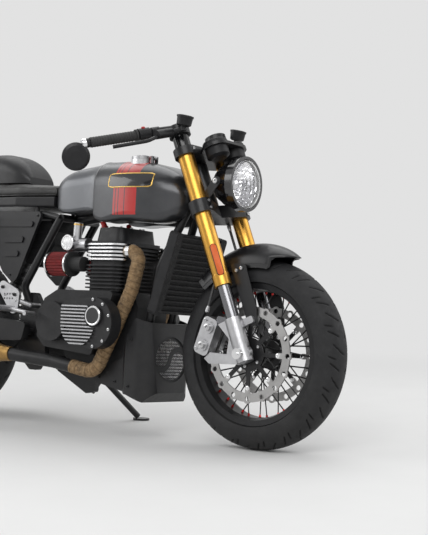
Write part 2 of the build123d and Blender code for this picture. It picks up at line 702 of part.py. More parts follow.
# Engine
with BuildPart() as crankcase:
    plate([(-148, 320), (-120, 450), (-60, 482), (196, 482), (108, 264), (-110, 284)], 14, crankcase_half,
          -crankcase_half)
    plate([(-30, 206), (200, 206), (248, 262), (255, 430), (236, 482), (-60, 482), (-70, 268)], 6, sump_half,
          -sump_half)
    with BuildSketch(side.offset(-84)):
        with Locations((-125, 340)):
            Rectangle(130, 160)
    extrude(amount=-70, mode=Mode.SUBTRACT)
    with BuildSketch(side.offset(crankcase_half)):
        with Locations((-62, 372)):
            Circle(68)
    extrude(amount=26)
    rod((sprocket_front.X, 80, sprocket_front.Z), (sprocket_front.X, chain_offset + 8, sprocket_front.Z), 16)
    rod((sprocket_front.X, chain_offset - 3.5, sprocket_front.Z),
        (sprocket_front.X, chain_offset + 3.5, sprocket_front.Z), chain_pitch_front - 5 - seat_gap)
pieces["crankcase"] = crankcase.part

with BuildPart() as clutch_cover:
    with BuildSketch(side.offset(crankcase_half + seat_gap)):
        with Locations((150, 372)):
            Circle(86)
        with Locations((38, 418)):
            Circle(28)
        with Locations((44, 392)):
            Circle(34)
        make_hull()
        with Locations((-62, 372)):
            Circle(69, mode=Mode.SUBTRACT)
    extrude(amount=clutch_depth)
    outer = side.offset(crankcase_half + seat_gap + clutch_depth)
    with BuildSketch(outer) as lobe:
        with Locations((92, 366)):
            Circle(74)
        with Locations((38, 418)):
            Circle(22)
        make_hull()
        with Locations((163, 396)):
            Circle(40, mode=Mode.SUBTRACT)
    with BuildSketch(outer) as bars:
        with Locations(*[(90, 301 + rib_pitch * step) for step in range(rib_count)]):
            Rectangle(240, rib_width)
    extrude(lobe.sketch & bars.sketch, amount=rib_height)
    rod((163, -crankcase_half - 49, 396), (163, -crankcase_half - 62, 396), 33)
pieces["clutch_cover"] = clutch_cover.part

with BuildPart() as alternator_cover:
    rod((150, crankcase_half + seat_gap, 372), (150, crankcase_half + 44, 372), 88)
    rod((150, crankcase_half + 40, 372), (150, crankcase_half + 52, 372), 60)
pieces["alternator_cover"] = alternator_cover.part

with BuildPart() as sprocket_cover:
    with BuildSketch(side.offset(-crankcase_half)):
        with Locations((-115, 334)):
            Circle(62)
        with Locations((-40, 345)):
            Circle(66)
        make_hull()
    extrude(amount=-22)
pieces["sprocket_cover"] = sprocket_cover.part

with BuildPart() as cylinder_block:
    with BuildSketch(Plane.XY.offset(482 + seat_gap)):
        with Locations((122, 0)):
            RectangleRounded(146, 2 * cylinder_half, 30)
    extrude(amount=98)
    for step in range(7):
        with BuildSketch(Plane.XY.offset(491 + fin_pitch * step)):
            with Locations((122, 0)):
                RectangleRounded(146 + 2 * fin_reach, 2 * (cylinder_half + fin_reach), 40)
        extrude(amount=fin_thickness)
pieces["cylinder_block"] = cylinder_block.part

with BuildPart() as cylinder_head:
    with BuildSketch(Plane.XY.offset(580 + 2 * seat_gap)):
        with Locations((122, 0)):
            RectangleRounded(150, 2 * cylinder_half, 30)
    extrude(amount=72)
    for step in range(5):
        with BuildSketch(Plane.XY.offset(587 + fin_pitch * step)):
            with Locations((122, 0)):
                RectangleRounded(150 + 2 * fin_reach, 2 * (cylinder_half + fin_reach), 44)
        extrude(amount=fin_thickness + 1.5)
    with BuildSketch(Plane.XY.offset(650)):
        with Locations((122, 0)):
            RectangleRounded(132, 196, 34)
    extrude(amount=50, taper=10)
    for hand in (-1, 1):
        rod((122, hand * 52, 690), (122, hand * 52, 704), 26)
pieces["cylinder_head"] = cylinder_head.part

with BuildPart() as plug_caps:
    rod((78, -66, 700 + seat_gap), (78, -66, 708), 12)
    rod((78, -66, 706), (70, -70, 722), 9)
    mirror(about=Plane.XZ)
pieces["plug_caps"] = plug_caps.part

with BuildPart() as throttle_bodies:
    rod((32.6, -92, 640), (-62, -92, 640), 24)
    rod((-18, -100, 640), (-14, -100, 716), 15)
    rod((-33, -90, 645), (-33, -130, 645), 24)
    mirror(about=Plane.XZ)
pieces["throttle_bodies"] = throttle_bodies.part

with BuildPart() as air_filters:
    pleats = []
    for index in range(48):
        reach = 42 if index % 2 else 37
        pleats.append((reach * cos(index * pi / 24), reach * sin(index * pi / 24)))
    with BuildSketch(Plane(origin=(-112, -110, 572), x_dir=(0, 1, 0), z_dir=(1, 0, 0))):
        with BuildLine():
            Polyline(*pleats, close=True)
        make_face()
    extrude(amount=80)
    rod((-120, -110, 572), (-112, -110, 572), 43)
    rod((-32, -110, 572), (-18, -110, 572), 43)
    rod((-18, -110, 572), (32.6, -110, 572), 26)
    mirror(about=Plane.XZ)
pieces["air_filters"] = air_filters.part

header_end = Vector(20, -130, 222)
with BuildPart() as exhaust_headers:
    tube([(211 + seat_gap, -96, 618), (270, -96, 618), (246, -105, 490), (192, -112, 365), (118, -120, 206),
          header_end], (38, 120, 120, 50), header_radius)
    mirror(about=Plane.XZ)
pieces["exhaust_headers"] = exhaust_headers.part

silencer_start = Vector(-250, -168, 250)
silencer_end = Vector(-628, -222, 262)
silencer_way = (silencer_end - silencer_start).normalized()
with BuildPart() as silencers:
    tube([header_end - Vector(2 * seat_gap, 0, 0), (-60, -137, 234), silencer_start + silencer_way * 6], 80,
         header_radius)
    round_bar(silencer_start, silencer_way, [(0, header_radius + 2), (26, header_radius + 5), (60, 38), (320, 46),
                                             (356, 46), (372, 40)])
    rod(silencer_end - silencer_way * 26, silencer_end + silencer_way * 6, 26)
    with BuildSketch(Plane(origin=silencer_end + silencer_way * 6, z_dir=silencer_way)):
        Circle(22)
    extrude(amount=-60, mode=Mode.SUBTRACT)
    mirror(about=Plane.XZ)
pieces["silencers"] = silencers.part

radiator_foot = Vector(342, 0, 415)
radiator_head = Vector(424, 0, 684)
with BuildPart() as radiator:
    rise = radiator_head - radiator_foot
    core = Plane(origin=(radiator_foot + radiator_head) * 0.5, x_dir=(0, 1, 0), z_dir=(rise.Z, 0, -rise.X))
    with BuildSketch(core):
        Rectangle(216, rise.length - 12)
    extrude(amount=26)
    with BuildSketch(core.offset(-2)):
        with Locations((-122, 0), (122, 0)):
            RectangleRounded(32, rise.length, 12)
    extrude(amount=34)
    with BuildSketch(core.offset(25)):
        with Locations(*[(0, -126 + 18 * step) for step in range(15)]):
            Rectangle(216, 5)
    extrude(amount=7)
pieces["radiator"] = radiator.part

# Bodywork
pan_front_low = Vector(352, 0, 152)
pan_front_high = Vector(332, 0, 460)


def pan_body(inset):
    """The belly pan's outer form, drawn in side view and in plan, made smaller by an inset."""
    with BuildPart() as body:
        with BuildSketch(side) as profile:
            with BuildLine():
                Polyline((40, 186), (140, 164), (255, 142), (320, 120), (pan_front_low.X, pan_front_low.Z),
                         (pan_front_high.X, pan_front_high.Z), (40, 460), close=True)
            make_face()
            if inset:
                offset(amount=-inset, kind=Kind.INTERSECTION)
        extrude(profile.sketch, amount=pan_half + 10, both=True)
        with BuildSketch(Plane.XY.offset(100)) as plan:
            with BuildLine():
                Polyline((30, -pan_tail_half), (214, -pan_tail_half), (246, -pan_half), (354, -pan_half),
                         (354, pan_half), (246, pan_half), (214, pan_tail_half), (30, pan_tail_half), close=True)
            make_face()
            fillet(plan.vertices().group_by(Axis.X)[-1], pan_corner)
            if inset:
                offset(amount=-inset, kind=Kind.INTERSECTION)
        extrude(plan.sketch, amount=400, mode=Mode.INTERSECT)
    return body.part


with BuildPart() as belly_pan:
    add(pan_body(0))
    add(pan_body(pan_wall), mode=Mode.SUBTRACT)
    with BuildSketch(side):
        with BuildLine():
            Polyline((60, 100), (360, 100), (360, 376), (283, 396), (205, 258), (66, 205), (60, 182), close=True)
        make_face()
    extrude(amount=pan_half + 10, both=True, mode=Mode.INTERSECT)
    rod((90, 0, 176), (90, 0, 206 - seat_gap), 10)
    rod((180, 0, 158), (180, 0, 206 - seat_gap), 10)
    climb = pan_front_high - pan_front_low
    pan_face = Plane(origin=pan_front_low + climb * 0.36, x_dir=(0, 1, 0), z_dir=(climb.Z, 0, -climb.X))
    with BuildSketch(pan_face.offset(10)):
        Ellipse(grille_width, grille_height)
    extrude(amount=-60, mode=Mode.SUBTRACT)
pieces["belly_pan"] = belly_pan.part

with BuildPart() as belly_grille:
    add(pan_body(pan_wall + seat_gap))
    add(pan_body(pan_wall + seat_gap + 3), mode=Mode.SUBTRACT)
    with BuildSketch(pan_face.offset(20)):
        with Locations(*[(0, grille_pitch * (step - 7)) for step in range(15)]):
            Rectangle(2 * grille_width, 3)
        with BuildLine():
            divide = ThreePointArc((-grille_width - 4, -8), (-grille_width / 2, -34), (0, 0))
            ThreePointArc(divide @ 1, (grille_width / 2, 34), (grille_width + 4, 8))
        trace(line_width=18)
        Ellipse(grille_width - 6, grille_height - 6, mode=Mode.INTERSECT)
        with BuildSketch(mode=Mode.ADD):
            Ellipse(grille_width + 6, grille_height + 6)
            Ellipse(grille_width - 8, grille_height - 8, mode=Mode.SUBTRACT)
    extrude(amount=-80, mode=Mode.INTERSECT)
pieces["belly_grille"] = belly_grille.part

cap_spot = Vector(226, -58, 0)
neck_top = 930.0
hinge = Vector(cap_spot.X + 48, cap_spot.Y, neck_top + 6)
with BuildPart() as fuel_tank:
    cross_sections([(-134, 84, 774, 872, 40, 14), (-110, 100, 757, 890, 55, 14), (-20, 108, 753, 916, 70, 14),
                    (58, 112, 750, 928, 76, 14)])
    cross_sections([(56, 111, 750, 928, 76, 14), (86, 138, 726, 930, 90, 20)])
    cross_sections([(84, 138, 726, 930, 90, 20), (180, 144, 718, 928, 92, 24), (300, 134, 714, 914, 86, 30),
                    (376, 106, 718, 880, 66, 34), (412, 80, 738, 846, 44, 34), (428, 56, 760, 816, 22, 22)])
    with BuildSketch(Plane(origin=spine_back - Vector(60, 0, 9), x_dir=(0, 1, 0), z_dir=spine_front - spine_back)):
        Circle(spine_radius + seat_gap)
        with Locations((0, -80)):
            Rectangle(104, 160)
    extrude(amount=640, mode=Mode.SUBTRACT)
    with BuildSketch(fork.offset(480)):
        with Locations((-fork_offset, 0)):
            Circle(head_tube_radius + 8)
    extrude(amount=240, mode=Mode.SUBTRACT)
    rod((cap_spot.X, cap_spot.Y, 880), (cap_spot.X, cap_spot.Y, neck_top), 40)
    drill((cap_spot.X, cap_spot.Y, neck_top - 12), (cap_spot.X, cap_spot.Y, neck_top + 1), 26)
    for shift in (11.5, -11.5):
        plate([(hinge.X - 5, 890), (hinge.X + 6, 890), (hinge.X + 6, hinge.Z + 6), (hinge.X - 5, hinge.Z + 6)], 3,
              hinge.Y + shift + 2.5, hinge.Y + shift - 2.5)
    rod(hinge - Vector(0, 12, 0), hinge + Vector(0, 12, 0), 3.5)
pieces["fuel_tank"] = fuel_tank.part

with BuildPart() as filler_cap:
    rod((cap_spot.X, cap_spot.Y, neck_top + seat_gap), (cap_spot.X, cap_spot.Y, neck_top + 11), 39)
    rod((cap_spot.X, cap_spot.Y, neck_top + 10), (cap_spot.X, cap_spot.Y, neck_top + 14), 30)
    plate([(cap_spot.X + 30, neck_top + 2), (hinge.X, neck_top + 2), (hinge.X, neck_top + 10),
           (cap_spot.X + 30, neck_top + 10)], 1, hinge.Y + 8.4, hinge.Y - 8.4)
    rod(hinge + Vector(0, 8.4, 0), hinge - Vector(0, 8.4, 0), 7)
    plate([(cap_spot.X - 52, neck_top + 3), (cap_spot.X - 34, neck_top + 3), (cap_spot.X - 20, neck_top + 19),
           (cap_spot.X - 46, neck_top + 12)], 2, hinge.Y + 9, hinge.Y - 9)
    drill(hinge - Vector(0, 20, 0), hinge + Vector(0, 20, 0), 3.5 + running_gap)
pieces["filler_cap"] = filler_cap.part

with BuildPart() as seat:
    cross_sections([(-136, 92, 812, 852, 20, 6), (-300, 124, 812, 862, 24, 6), (-528, 116, 812, 866, 24, 6)],
                   ruled=True)
pieces["seat"] = seat.part

with BuildPart() as seat_base:
    cross_sections([(-140, 96, 774, 811, 4, 8), (-300, 127, 776, 811, 4, 8), (-528, 120, 778, 811, 4, 8)],
                   ruled=True)
pieces["seat_base"] = seat_base.part

with BuildPart() as tail_cowl:
    cross_sections([(-298, 62, 866.6, 892, 16, 2), (-340, 82, 866.6, 944, 50, 2), (-410, 90, 866.6, 977, 66, 2),
                    (-540, 88, 866.6, 982, 66, 2)])
    cross_sections([(-529, 110, 790, 981, 70, 10), (-600, 92, 806, 966, 60, 10), (-660, 66, 836, 926, 36, 10)])
pieces["tail_cowl"] = tail_cowl.part

with BuildPart() as tail_lamp:
    with BuildSketch(Plane(origin=(-660 - seat_gap, 0, 882), x_dir=(0, 1, 0), z_dir=(1, 0, 0))):
        RectangleRounded(96, 40, 16)
    extrude(amount=-14)
pieces["tail_lamp"] = tail_lamp.part

with BuildPart() as side_panels:
    plate([(-168, 756), (-400, 762), (-424, 650), (-350, 540), (-296, 500), (-276, 520)], 14, -110, -122)
    plate([(-205, 722), (-390, 724), (-396, 704), (-212, 702)], 8, -118, -128)
    plate([(-250, 668), (-350, 668), (-356, 646), (-256, 646)], 8, -118, -128)
    plate([(-270, 616), (-345, 616), (-350, 596), (-276, 596)], 8, -118, -128)
    rod((-300, -114, 750), (-300, -105 - seat_gap, 750), 5)
    mirror(about=Plane.XZ)
pieces["side_panels"] = side_panels.part

with BuildPart() as rearsets:
    with BuildSketch(side.offset(164)):
        with Locations((-292, 484), (-232, 458), (-236, 414)):
            Circle(22)
        make_hull()
        with Locations((-262, 452)):
            with GridLocations(13, 16, 4, 2):
                RegularPolygon(3.6, 8, mode=Mode.SUBTRACT)
    extrude(amount=7)
    rod((-238, -184, 408), (-124, -192, 394), 7)
    rod((-124, -180, 394), (-124, -228, 394), 8)
    rod((-196, -80 - seat_gap, 424), (-196, -130, 424), 9)
    rod((-196, -126, 424), (-230, -168, 440), 9)
    rod((-280, -80 - seat_gap, 412), (-280, -130, 412), 9)
    rod((-280, -126, 412), (-278, -168, 462), 9)
    rod((-238, -165, 408), (-238, -252, 408), 11)
    mirror(about=Plane.XZ)
pieces["rearsets"] = rearsets.part

with BuildPart() as battery_box:
    plate([(-150, 690), (-150, 640), (-215, 560), (-330, 590), (-345, 700), (-300, 728), (-175, 728)], 12,
          box_half, -box_half)
    with BuildSketch(side.offset(box_half)):
        with Locations((-250, 640), (-250, 664), (-250, 688)):
            SlotOverall(130, 10)
    extrude(amount=3)
    with BuildSketch(side.offset(-box_half)):
        with Locations((-250, 640), (-250, 664), (-250, 688)):
            SlotOverall(130, 10)
    extrude(amount=-3)
    rod((-230, 0, 720), (-230, 0, 750), 9)
    rod((-230, 83.2, 750), (-230, -83.2, 750), 9)
pieces["battery_box"] = battery_box.part

# Parked stance: lean to the left, then the middle of the bounding box's base becomes the origin
tilt = Location((0, 0, 0), (-lean, 0, 0))
tilted = {name: tilt * piece for name, piece in pieces.items()}
extent = Compound(list(tilted.values())).bounding_box()
shift = Vector(-extent.center().X, -extent.center().Y, -extent.min.Z)
os.makedirs("parts", exist_ok=True)
for name, piece in tilted.items():
    placed = Location(shift) * piece
    placed.label = name
    export_step(placed, f"parts/{name}.step")
print("shift", [round(value, 4) for value in shift], "size", [round(value, 2) for value in extent.size])
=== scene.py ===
# Looks of a parked cafe racer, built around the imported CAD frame
import json
import math

import bmesh
import bpy
import numpy as np
from mathutils import Matrix, Vector
from mathutils.bvhtree import BVHTree


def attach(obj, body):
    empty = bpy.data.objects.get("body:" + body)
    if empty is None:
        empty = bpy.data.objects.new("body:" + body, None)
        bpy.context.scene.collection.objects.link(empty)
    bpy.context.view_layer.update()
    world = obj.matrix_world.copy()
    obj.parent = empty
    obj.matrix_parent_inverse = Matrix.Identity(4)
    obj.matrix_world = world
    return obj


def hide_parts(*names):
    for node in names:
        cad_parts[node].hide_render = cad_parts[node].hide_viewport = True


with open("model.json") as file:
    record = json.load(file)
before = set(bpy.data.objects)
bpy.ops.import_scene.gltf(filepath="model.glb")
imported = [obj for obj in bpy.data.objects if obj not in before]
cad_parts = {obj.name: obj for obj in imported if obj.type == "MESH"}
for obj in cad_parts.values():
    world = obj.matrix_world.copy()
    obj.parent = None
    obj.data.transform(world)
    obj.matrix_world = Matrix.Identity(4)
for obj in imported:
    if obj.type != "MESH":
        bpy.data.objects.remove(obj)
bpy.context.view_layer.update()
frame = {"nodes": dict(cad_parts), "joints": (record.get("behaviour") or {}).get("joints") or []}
scene = bpy.context.scene
print("frame loaded:", len(frame["nodes"]), "nodes")

# Upright machine frame in millimetres: X forward, Y to the rider's left, Z up from the ground line
stance = {"lean": 5.0, "frontAxle": (707.5, 0.0, 300.0), "rearAxle": (-707.5, 0.0, 312.0), "rake": 22.8}
leanTurn = Matrix.Rotation(math.radians(-stance["lean"]), 3, "X")
rearSpin = next(joint for joint in frame["joints"] if joint["name"] == "rear_wheel_spin")
shift = Vector(rearSpin["pos_m"]) - leanTurn @ Vector(stance["rearAxle"]) / 1000
frontAxle = Vector(stance["frontAxle"])
rearAxle = Vector(stance["rearAxle"])
rake = math.radians(stance["rake"])
forkUp = Vector((-math.sin(rake), 0, math.cos(rake)))
forkForward = Vector((math.cos(rake), 0, math.sin(rake)))
across = Vector((0, 1, 0))


def bike(point):  # upright millimetres to metres on the leaning machine
    return leanTurn @ Vector(point) / 1000 + shift


def way(direction):
    return (leanTurn @ Vector(direction)).normalized()


def forkSpot(forward, left, up):  # along the fork from the front axle
    return frontAxle + forkForward * forward + across * left + forkUp * up


def wheelSpot(axle, radius, turn, left):
    return axle + Vector((radius * math.cos(turn), left, radius * math.sin(turn)))


# Mesh helpers
def addPiece(name, verts, faces, finish, sharp=35, recalc=False):
    mesh = bpy.data.meshes.new(name)
    mesh.from_pydata([tuple(vert) for vert in verts], [], faces)
    if recalc:
        tidyMesh(mesh)
    mesh.shade_smooth()
    mesh.set_sharp_from_angle(angle=math.radians(sharp))
    mesh.materials.append(finishes[finish])
    piece = bpy.data.objects.new(name, mesh)
    scene.collection.objects.link(piece)
    return piece


def tidyMesh(mesh):  # merge doubles, then turn every face outwards
    work = bmesh.new()
    work.from_mesh(mesh)
    bmesh.ops.remove_doubles(work, verts=work.verts, dist=1e-6)
    bmesh.ops.recalc_face_normals(work, faces=work.faces)
    work.to_mesh(mesh)
    work.free()


def gridFaces(rows, columns, closeRows=False, start=0):  # bands of quads between closed rings of points
    faces = []
    for row in range(rows if closeRows else rows - 1):
        here, there = start + row * columns, start + (row + 1) % rows * columns
        for column in range(columns):
            after = (column + 1) % columns
            faces.append((here + column, here + after, there + after, there + column))
    return faces


def endCaps(total, ring):  # one face over the first ring and one over the last
    return [tuple(range(ring)), tuple(range(total - ring, total))[::-1]]


def mount(piece, body):
    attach(piece, body)
    return piece


def ringTurns(count, offset=0.0):
    return [2 * math.pi * (step + offset) / count for step in range(count)]


def lathePiece(name, places, rows, finish, body, count=40, closed=False):
    verts, faces = [], []  # rows of (distance along, radius) turned about each place's own line
    for point, direction in places:
        axis = Vector(direction).normalized()
        first = axis.orthogonal().normalized()
        second = axis.cross(first)
        base = len(verts)
        for along, radius in rows:
            for turn in ringTurns(count):
                out = first * math.cos(turn) + second * math.sin(turn)
                verts.append(bike(Vector(point) + axis * along + out * radius))
        faces += gridFaces(len(rows), count, closed, base)
    return mount(addPiece(name, verts, faces, finish, recalc=True), body)


def flipped(point):  # the same spot on the other side of the machine
    return Vector((point[0], -point[1], point[2]))


def bothHands(point, direction):
    return [(Vector(point), Vector(direction)), (flipped(point), flipped(direction))]


# Node helpers
def put(tree, kind, inputs=None, **settings):
    made = tree.nodes.new(kind)
    for key, value in settings.items():
        setattr(made, key, value)
    for key, value in (inputs or {}).items():
        if isinstance(value, bpy.types.NodeSocket):
            tree.links.new(value, made.inputs[key])
        else:
            made.inputs[key].default_value = value
    return made


def math1(tree, operation, first, second=0.0, clamp=False):
    return put(tree, "ShaderNodeMath", {0: first, 1: second}, operation=operation, use_clamp=clamp).outputs[0]


def vector1(tree, operation, first, second=(0, 0, 0)):
    made = put(tree, "ShaderNodeVectorMath", {0: first, 1: second}, operation=operation).outputs
    return made["Value" if operation in ("LENGTH", "DOT_PRODUCT") else "Vector"]


def scaleVector(tree, vector, scale):
    return put(tree, "ShaderNodeVectorMath", {0: vector, "Scale": scale}, operation="SCALE").outputs["Vector"]


def splitVector(tree, vector):
    return put(tree, "ShaderNodeSeparateXYZ", {"Vector": vector}).outputs


def ramp(tree, value, low, high, toLow=0.0, toHigh=1.0, **settings):
    return put(tree, "ShaderNodeMapRange", {"Value": value, "From Min": low, "From Max": high, "To Min": toLow,
                                            "To Max": toHigh}, **settings).outputs[0]


def noise(tree, vector, scale, detail, **more):
    return put(tree, "ShaderNodeTexNoise", {"Vector": vector, "Scale": scale, "Detail": detail, **more}).outputs[0]


def newTree(name, kind, inputs, outputs):
    tree = bpy.data.node_groups.new(name, kind)
    for label, socketKind, value in inputs:
        socket = tree.interface.new_socket(label, in_out="INPUT", socket_type="NodeSocket" + socketKind)
        if value is not None:
            socket.default_value = value
    for label, socketKind in outputs:
        tree.interface.new_socket(label, in_out="OUTPUT", socket_type="NodeSocket" + socketKind)
    return tree, tree.nodes.new("NodeGroupInput").outputs, tree.nodes.new("NodeGroupOutput").inputs


def shaderGroup(name, inputs, outputs):
    return newTree(name, "ShaderNodeTree", inputs, outputs)


def useGroup(tree, group, inputs):
    return put(tree, "ShaderNodeGroup", inputs, node_tree=group).outputs


def feed(shader, inputs):
    for key, value in inputs.items():
        shader.id_data.links.new(value, shader.inputs[key])


def emboss(shader, height, strength, distance):
    feed(shader, {"Normal": put(shader.id_data, "ShaderNodeBump", {
        "Height": height, "Strength": strength, "Distance": distance}).outputs[0]})


# Object coordinates turned back to the upright machine, in metres
uprightGroup, groupIn, groupOut = shaderGroup("uprightSpace", [], [("Vector", "Vector")])
objectSpot = put(uprightGroup, "ShaderNodeTexCoord").outputs["Object"]
backShift = -(leanTurn.inverted() @ shift)
upright = put(uprightGroup, "ShaderNodeMapping", {"Vector": objectSpot, "Location": backShift,
                                                  "Rotation": (math.radians(stance["lean"]), 0, 0)})
uprightGroup.links.new(upright.outputs[0], groupOut["Vector"])

# Slow patches of value between two ends
mottleGroup, groupIn, groupOut = shaderGroup(
    "mottle", [("Vector", "Vector", None), ("Scale", "Float", 20.0), ("Low", "Float", 0.3), ("High", "Float", 0.5)],
    [("Value", "Float")])
cloud = noise(mottleGroup, groupIn["Vector"], groupIn["Scale"], 5.0, Roughness=0.6)
mottleGroup.links.new(ramp(mottleGroup, cloud, 0.34, 0.66, groupIn["Low"], groupIn["High"]), groupOut["Value"])

# Fine surface relief: cast sand, moulded grain or hide pebbles
grainGroup, groupIn, groupOut = shaderGroup(
    "surfaceGrain", [("Vector", "Vector", None), ("Scale", "Float", 800.0), ("Pebble", "Float", 0.3)],
    [("Height", "Float")])
fine = noise(grainGroup, groupIn["Vector"], groupIn["Scale"], 3.0)
cells = put(grainGroup, "ShaderNodeTexVoronoi", {"Vector": groupIn["Vector"], "Scale": groupIn["Scale"]},
            feature="SMOOTH_F1")
pebbles = math1(grainGroup, "MULTIPLY", cells.outputs["Distance"], groupIn["Pebble"])
grainGroup.links.new(math1(grainGroup, "ADD", fine, pebbles), groupOut["Height"])

# Thin handling scratches and rubbed spots
scuffGroup, groupIn, groupOut = shaderGroup(
    "scuffs", [("Vector", "Vector", None), ("Scale", "Float", 60.0), ("Amount", "Float", 0.2)], [("Mask", "Float")])
bent = put(scuffGroup, "ShaderNodeMapping", {"Vector": groupIn["Vector"], "Rotation": (0.4, 0.7, 0.2),
                                             "Scale": (1.0, 14.0, 3.0)})
thin = ramp(scuffGroup, noise(scuffGroup, bent.outputs[0], groupIn["Scale"], 4.0), 0.62, 0.7)
rub = ramp(scuffGroup, noise(scuffGroup, groupIn["Vector"], 14.0, 2.0), 0.5, 0.7)
scuffMask = math1(scuffGroup, "MULTIPLY", math1(scuffGroup, "MULTIPLY", thin, rub), groupIn["Amount"])
scuffGroup.links.new(scuffMask, groupOut["Mask"])

# Road dust, thicker towards the ground
dustGroup, groupIn, groupOut = shaderGroup(
    "roadDust", [("Vector", "Vector", None), ("Top", "Float", 0.6), ("Amount", "Float", 0.2)], [("Mask", "Float")])
height = splitVector(dustGroup, groupIn["Vector"])["Z"]
fall = ramp(dustGroup, height, groupIn["Top"], 0.0, 0.0, groupIn["Amount"])
cloudy = noise(dustGroup, groupIn["Vector"], 30.0, 6.0)
dustGroup.links.new(math1(dustGroup, "MULTIPLY", fall, cloudy), groupOut["Mask"])

# Bright rim of a rounded rectangle seen from above, for machined fin edges
finGroup, groupIn, groupOut = shaderGroup(
    "finEdge", [("Vector", "Vector", None), ("Middle", "Vector", None), ("Half", "Vector", None),
                ("Corner", "Float", 0.04), ("Width", "Float", 0.0015)], [("Mask", "Float")])
folded = vector1(finGroup, "ABSOLUTE", vector1(finGroup, "SUBTRACT", groupIn["Vector"], groupIn["Middle"]))
outside = vector1(finGroup, "MAXIMUM", vector1(finGroup, "SUBTRACT", folded, groupIn["Half"]))
reach = vector1(finGroup, "LENGTH", vector1(finGroup, "MULTIPLY", outside, (1, 1, 0)))
inset = math1(finGroup, "SUBTRACT", groupIn["Corner"], groupIn["Width"])
softInset = math1(finGroup, "SUBTRACT", inset, 0.0003)
finGroup.links.new(ramp(finGroup, reach, softInset, inset), groupOut["Mask"])

dustColour = (0.30, 0.28, 0.25, 1)


def mixColour(tree, factor, first, second):
    first, second = [value if isinstance(value, bpy.types.NodeSocket) else (*value[:3], 1) for value in (first, second)]
    return put(tree, "ShaderNodeMix", {0: factor, 6: first, 7: second}, data_type="RGBA").outputs[2]


def withinBand(tree, value, middle, half):
    return put(tree, "ShaderNodeMath", {0: value, 1: middle, 2: half}, operation="COMPARE").outputs[0]


def mixValue(tree, factor, first, second):
    return put(tree, "ShaderNodeMix", {0: factor, 2: first, 3: second}, data_type="FLOAT").outputs[0]


def startMaterial(name, look):
    material = bpy.data.materials.new(name)
    material.use_nodes = True
    tree = material.node_tree
    shader = tree.nodes["Principled BSDF"]
    shader.inputs["Metallic"].default_value = look.get("metal", 0.0)
    for key, socket in (("coat", "Coat Weight"), ("coatRough", "Coat Roughness"), ("sheen", "Sheen Weight"),
                        ("sheenRough", "Sheen Roughness"), ("ior", "IOR"), ("aniso", "Anisotropic"),
                        ("specular", "Specular IOR Level"), ("transmission", "Transmission Weight")):
        if key in look:
            shader.inputs[socket].default_value = look[key]
    material.diffuse_color = (*look["colour"], 1)
    return material, tree, shader


def makeFinish(name, look):  # the common layers: two tones, scuffs, dust, patchy gloss and a fine relief
    material, tree, shader = startMaterial(name, look)
    spot = useGroup(tree, uprightGroup, {})["Vector"]
    tone = useGroup(tree, mottleGroup, {"Vector": spot, "Scale": look.get("patches", 22.0), "Low": 0.0, "High": 1.0})[0]
    colour = mixColour(tree, tone, look["colour"], look.get("tint", look["colour"]))
    rough = useGroup(tree, mottleGroup, {"Vector": spot, "Scale": look.get("patches", 22.0) * 3.1,
                                         "Low": look["rough"][0], "High": look["rough"][1]})[0]
    if look.get("scuffs"):
        mask = useGroup(tree, scuffGroup, {"Vector": spot, "Amount": look["scuffs"]})[0]
        colour = mixColour(tree, mask, colour, look.get("bare", (0.45, 0.45, 0.46)))
        rough = math1(tree, "ADD", rough, math1(tree, "MULTIPLY", mask, 0.15))
    if look.get("dust"):
        mask = useGroup(tree, dustGroup, {"Vector": spot, "Top": look.get("dustTop", 0.6), "Amount": look["dust"]})[0]
        colour = mixColour(tree, mask, colour, dustColour)
        rough = math1(tree, "ADD", rough, math1(tree, "MULTIPLY", mask, 0.4), clamp=True)
    feed(shader, {"Base Color": colour, "Roughness": rough})
    if "grain" in look:
        scale, strength, pebble = look["grain"]
        relief = useGroup(tree, grainGroup, {"Vector": spot, "Scale": scale, "Pebble": pebble})[0]
        emboss(shader, relief, strength, 0.0006)
    return material, tree, shader, spot, colour, rough


def tones(colour, tint, rough, **more):
    return {"colour": colour, "tint": tint, "rough": rough, **more}


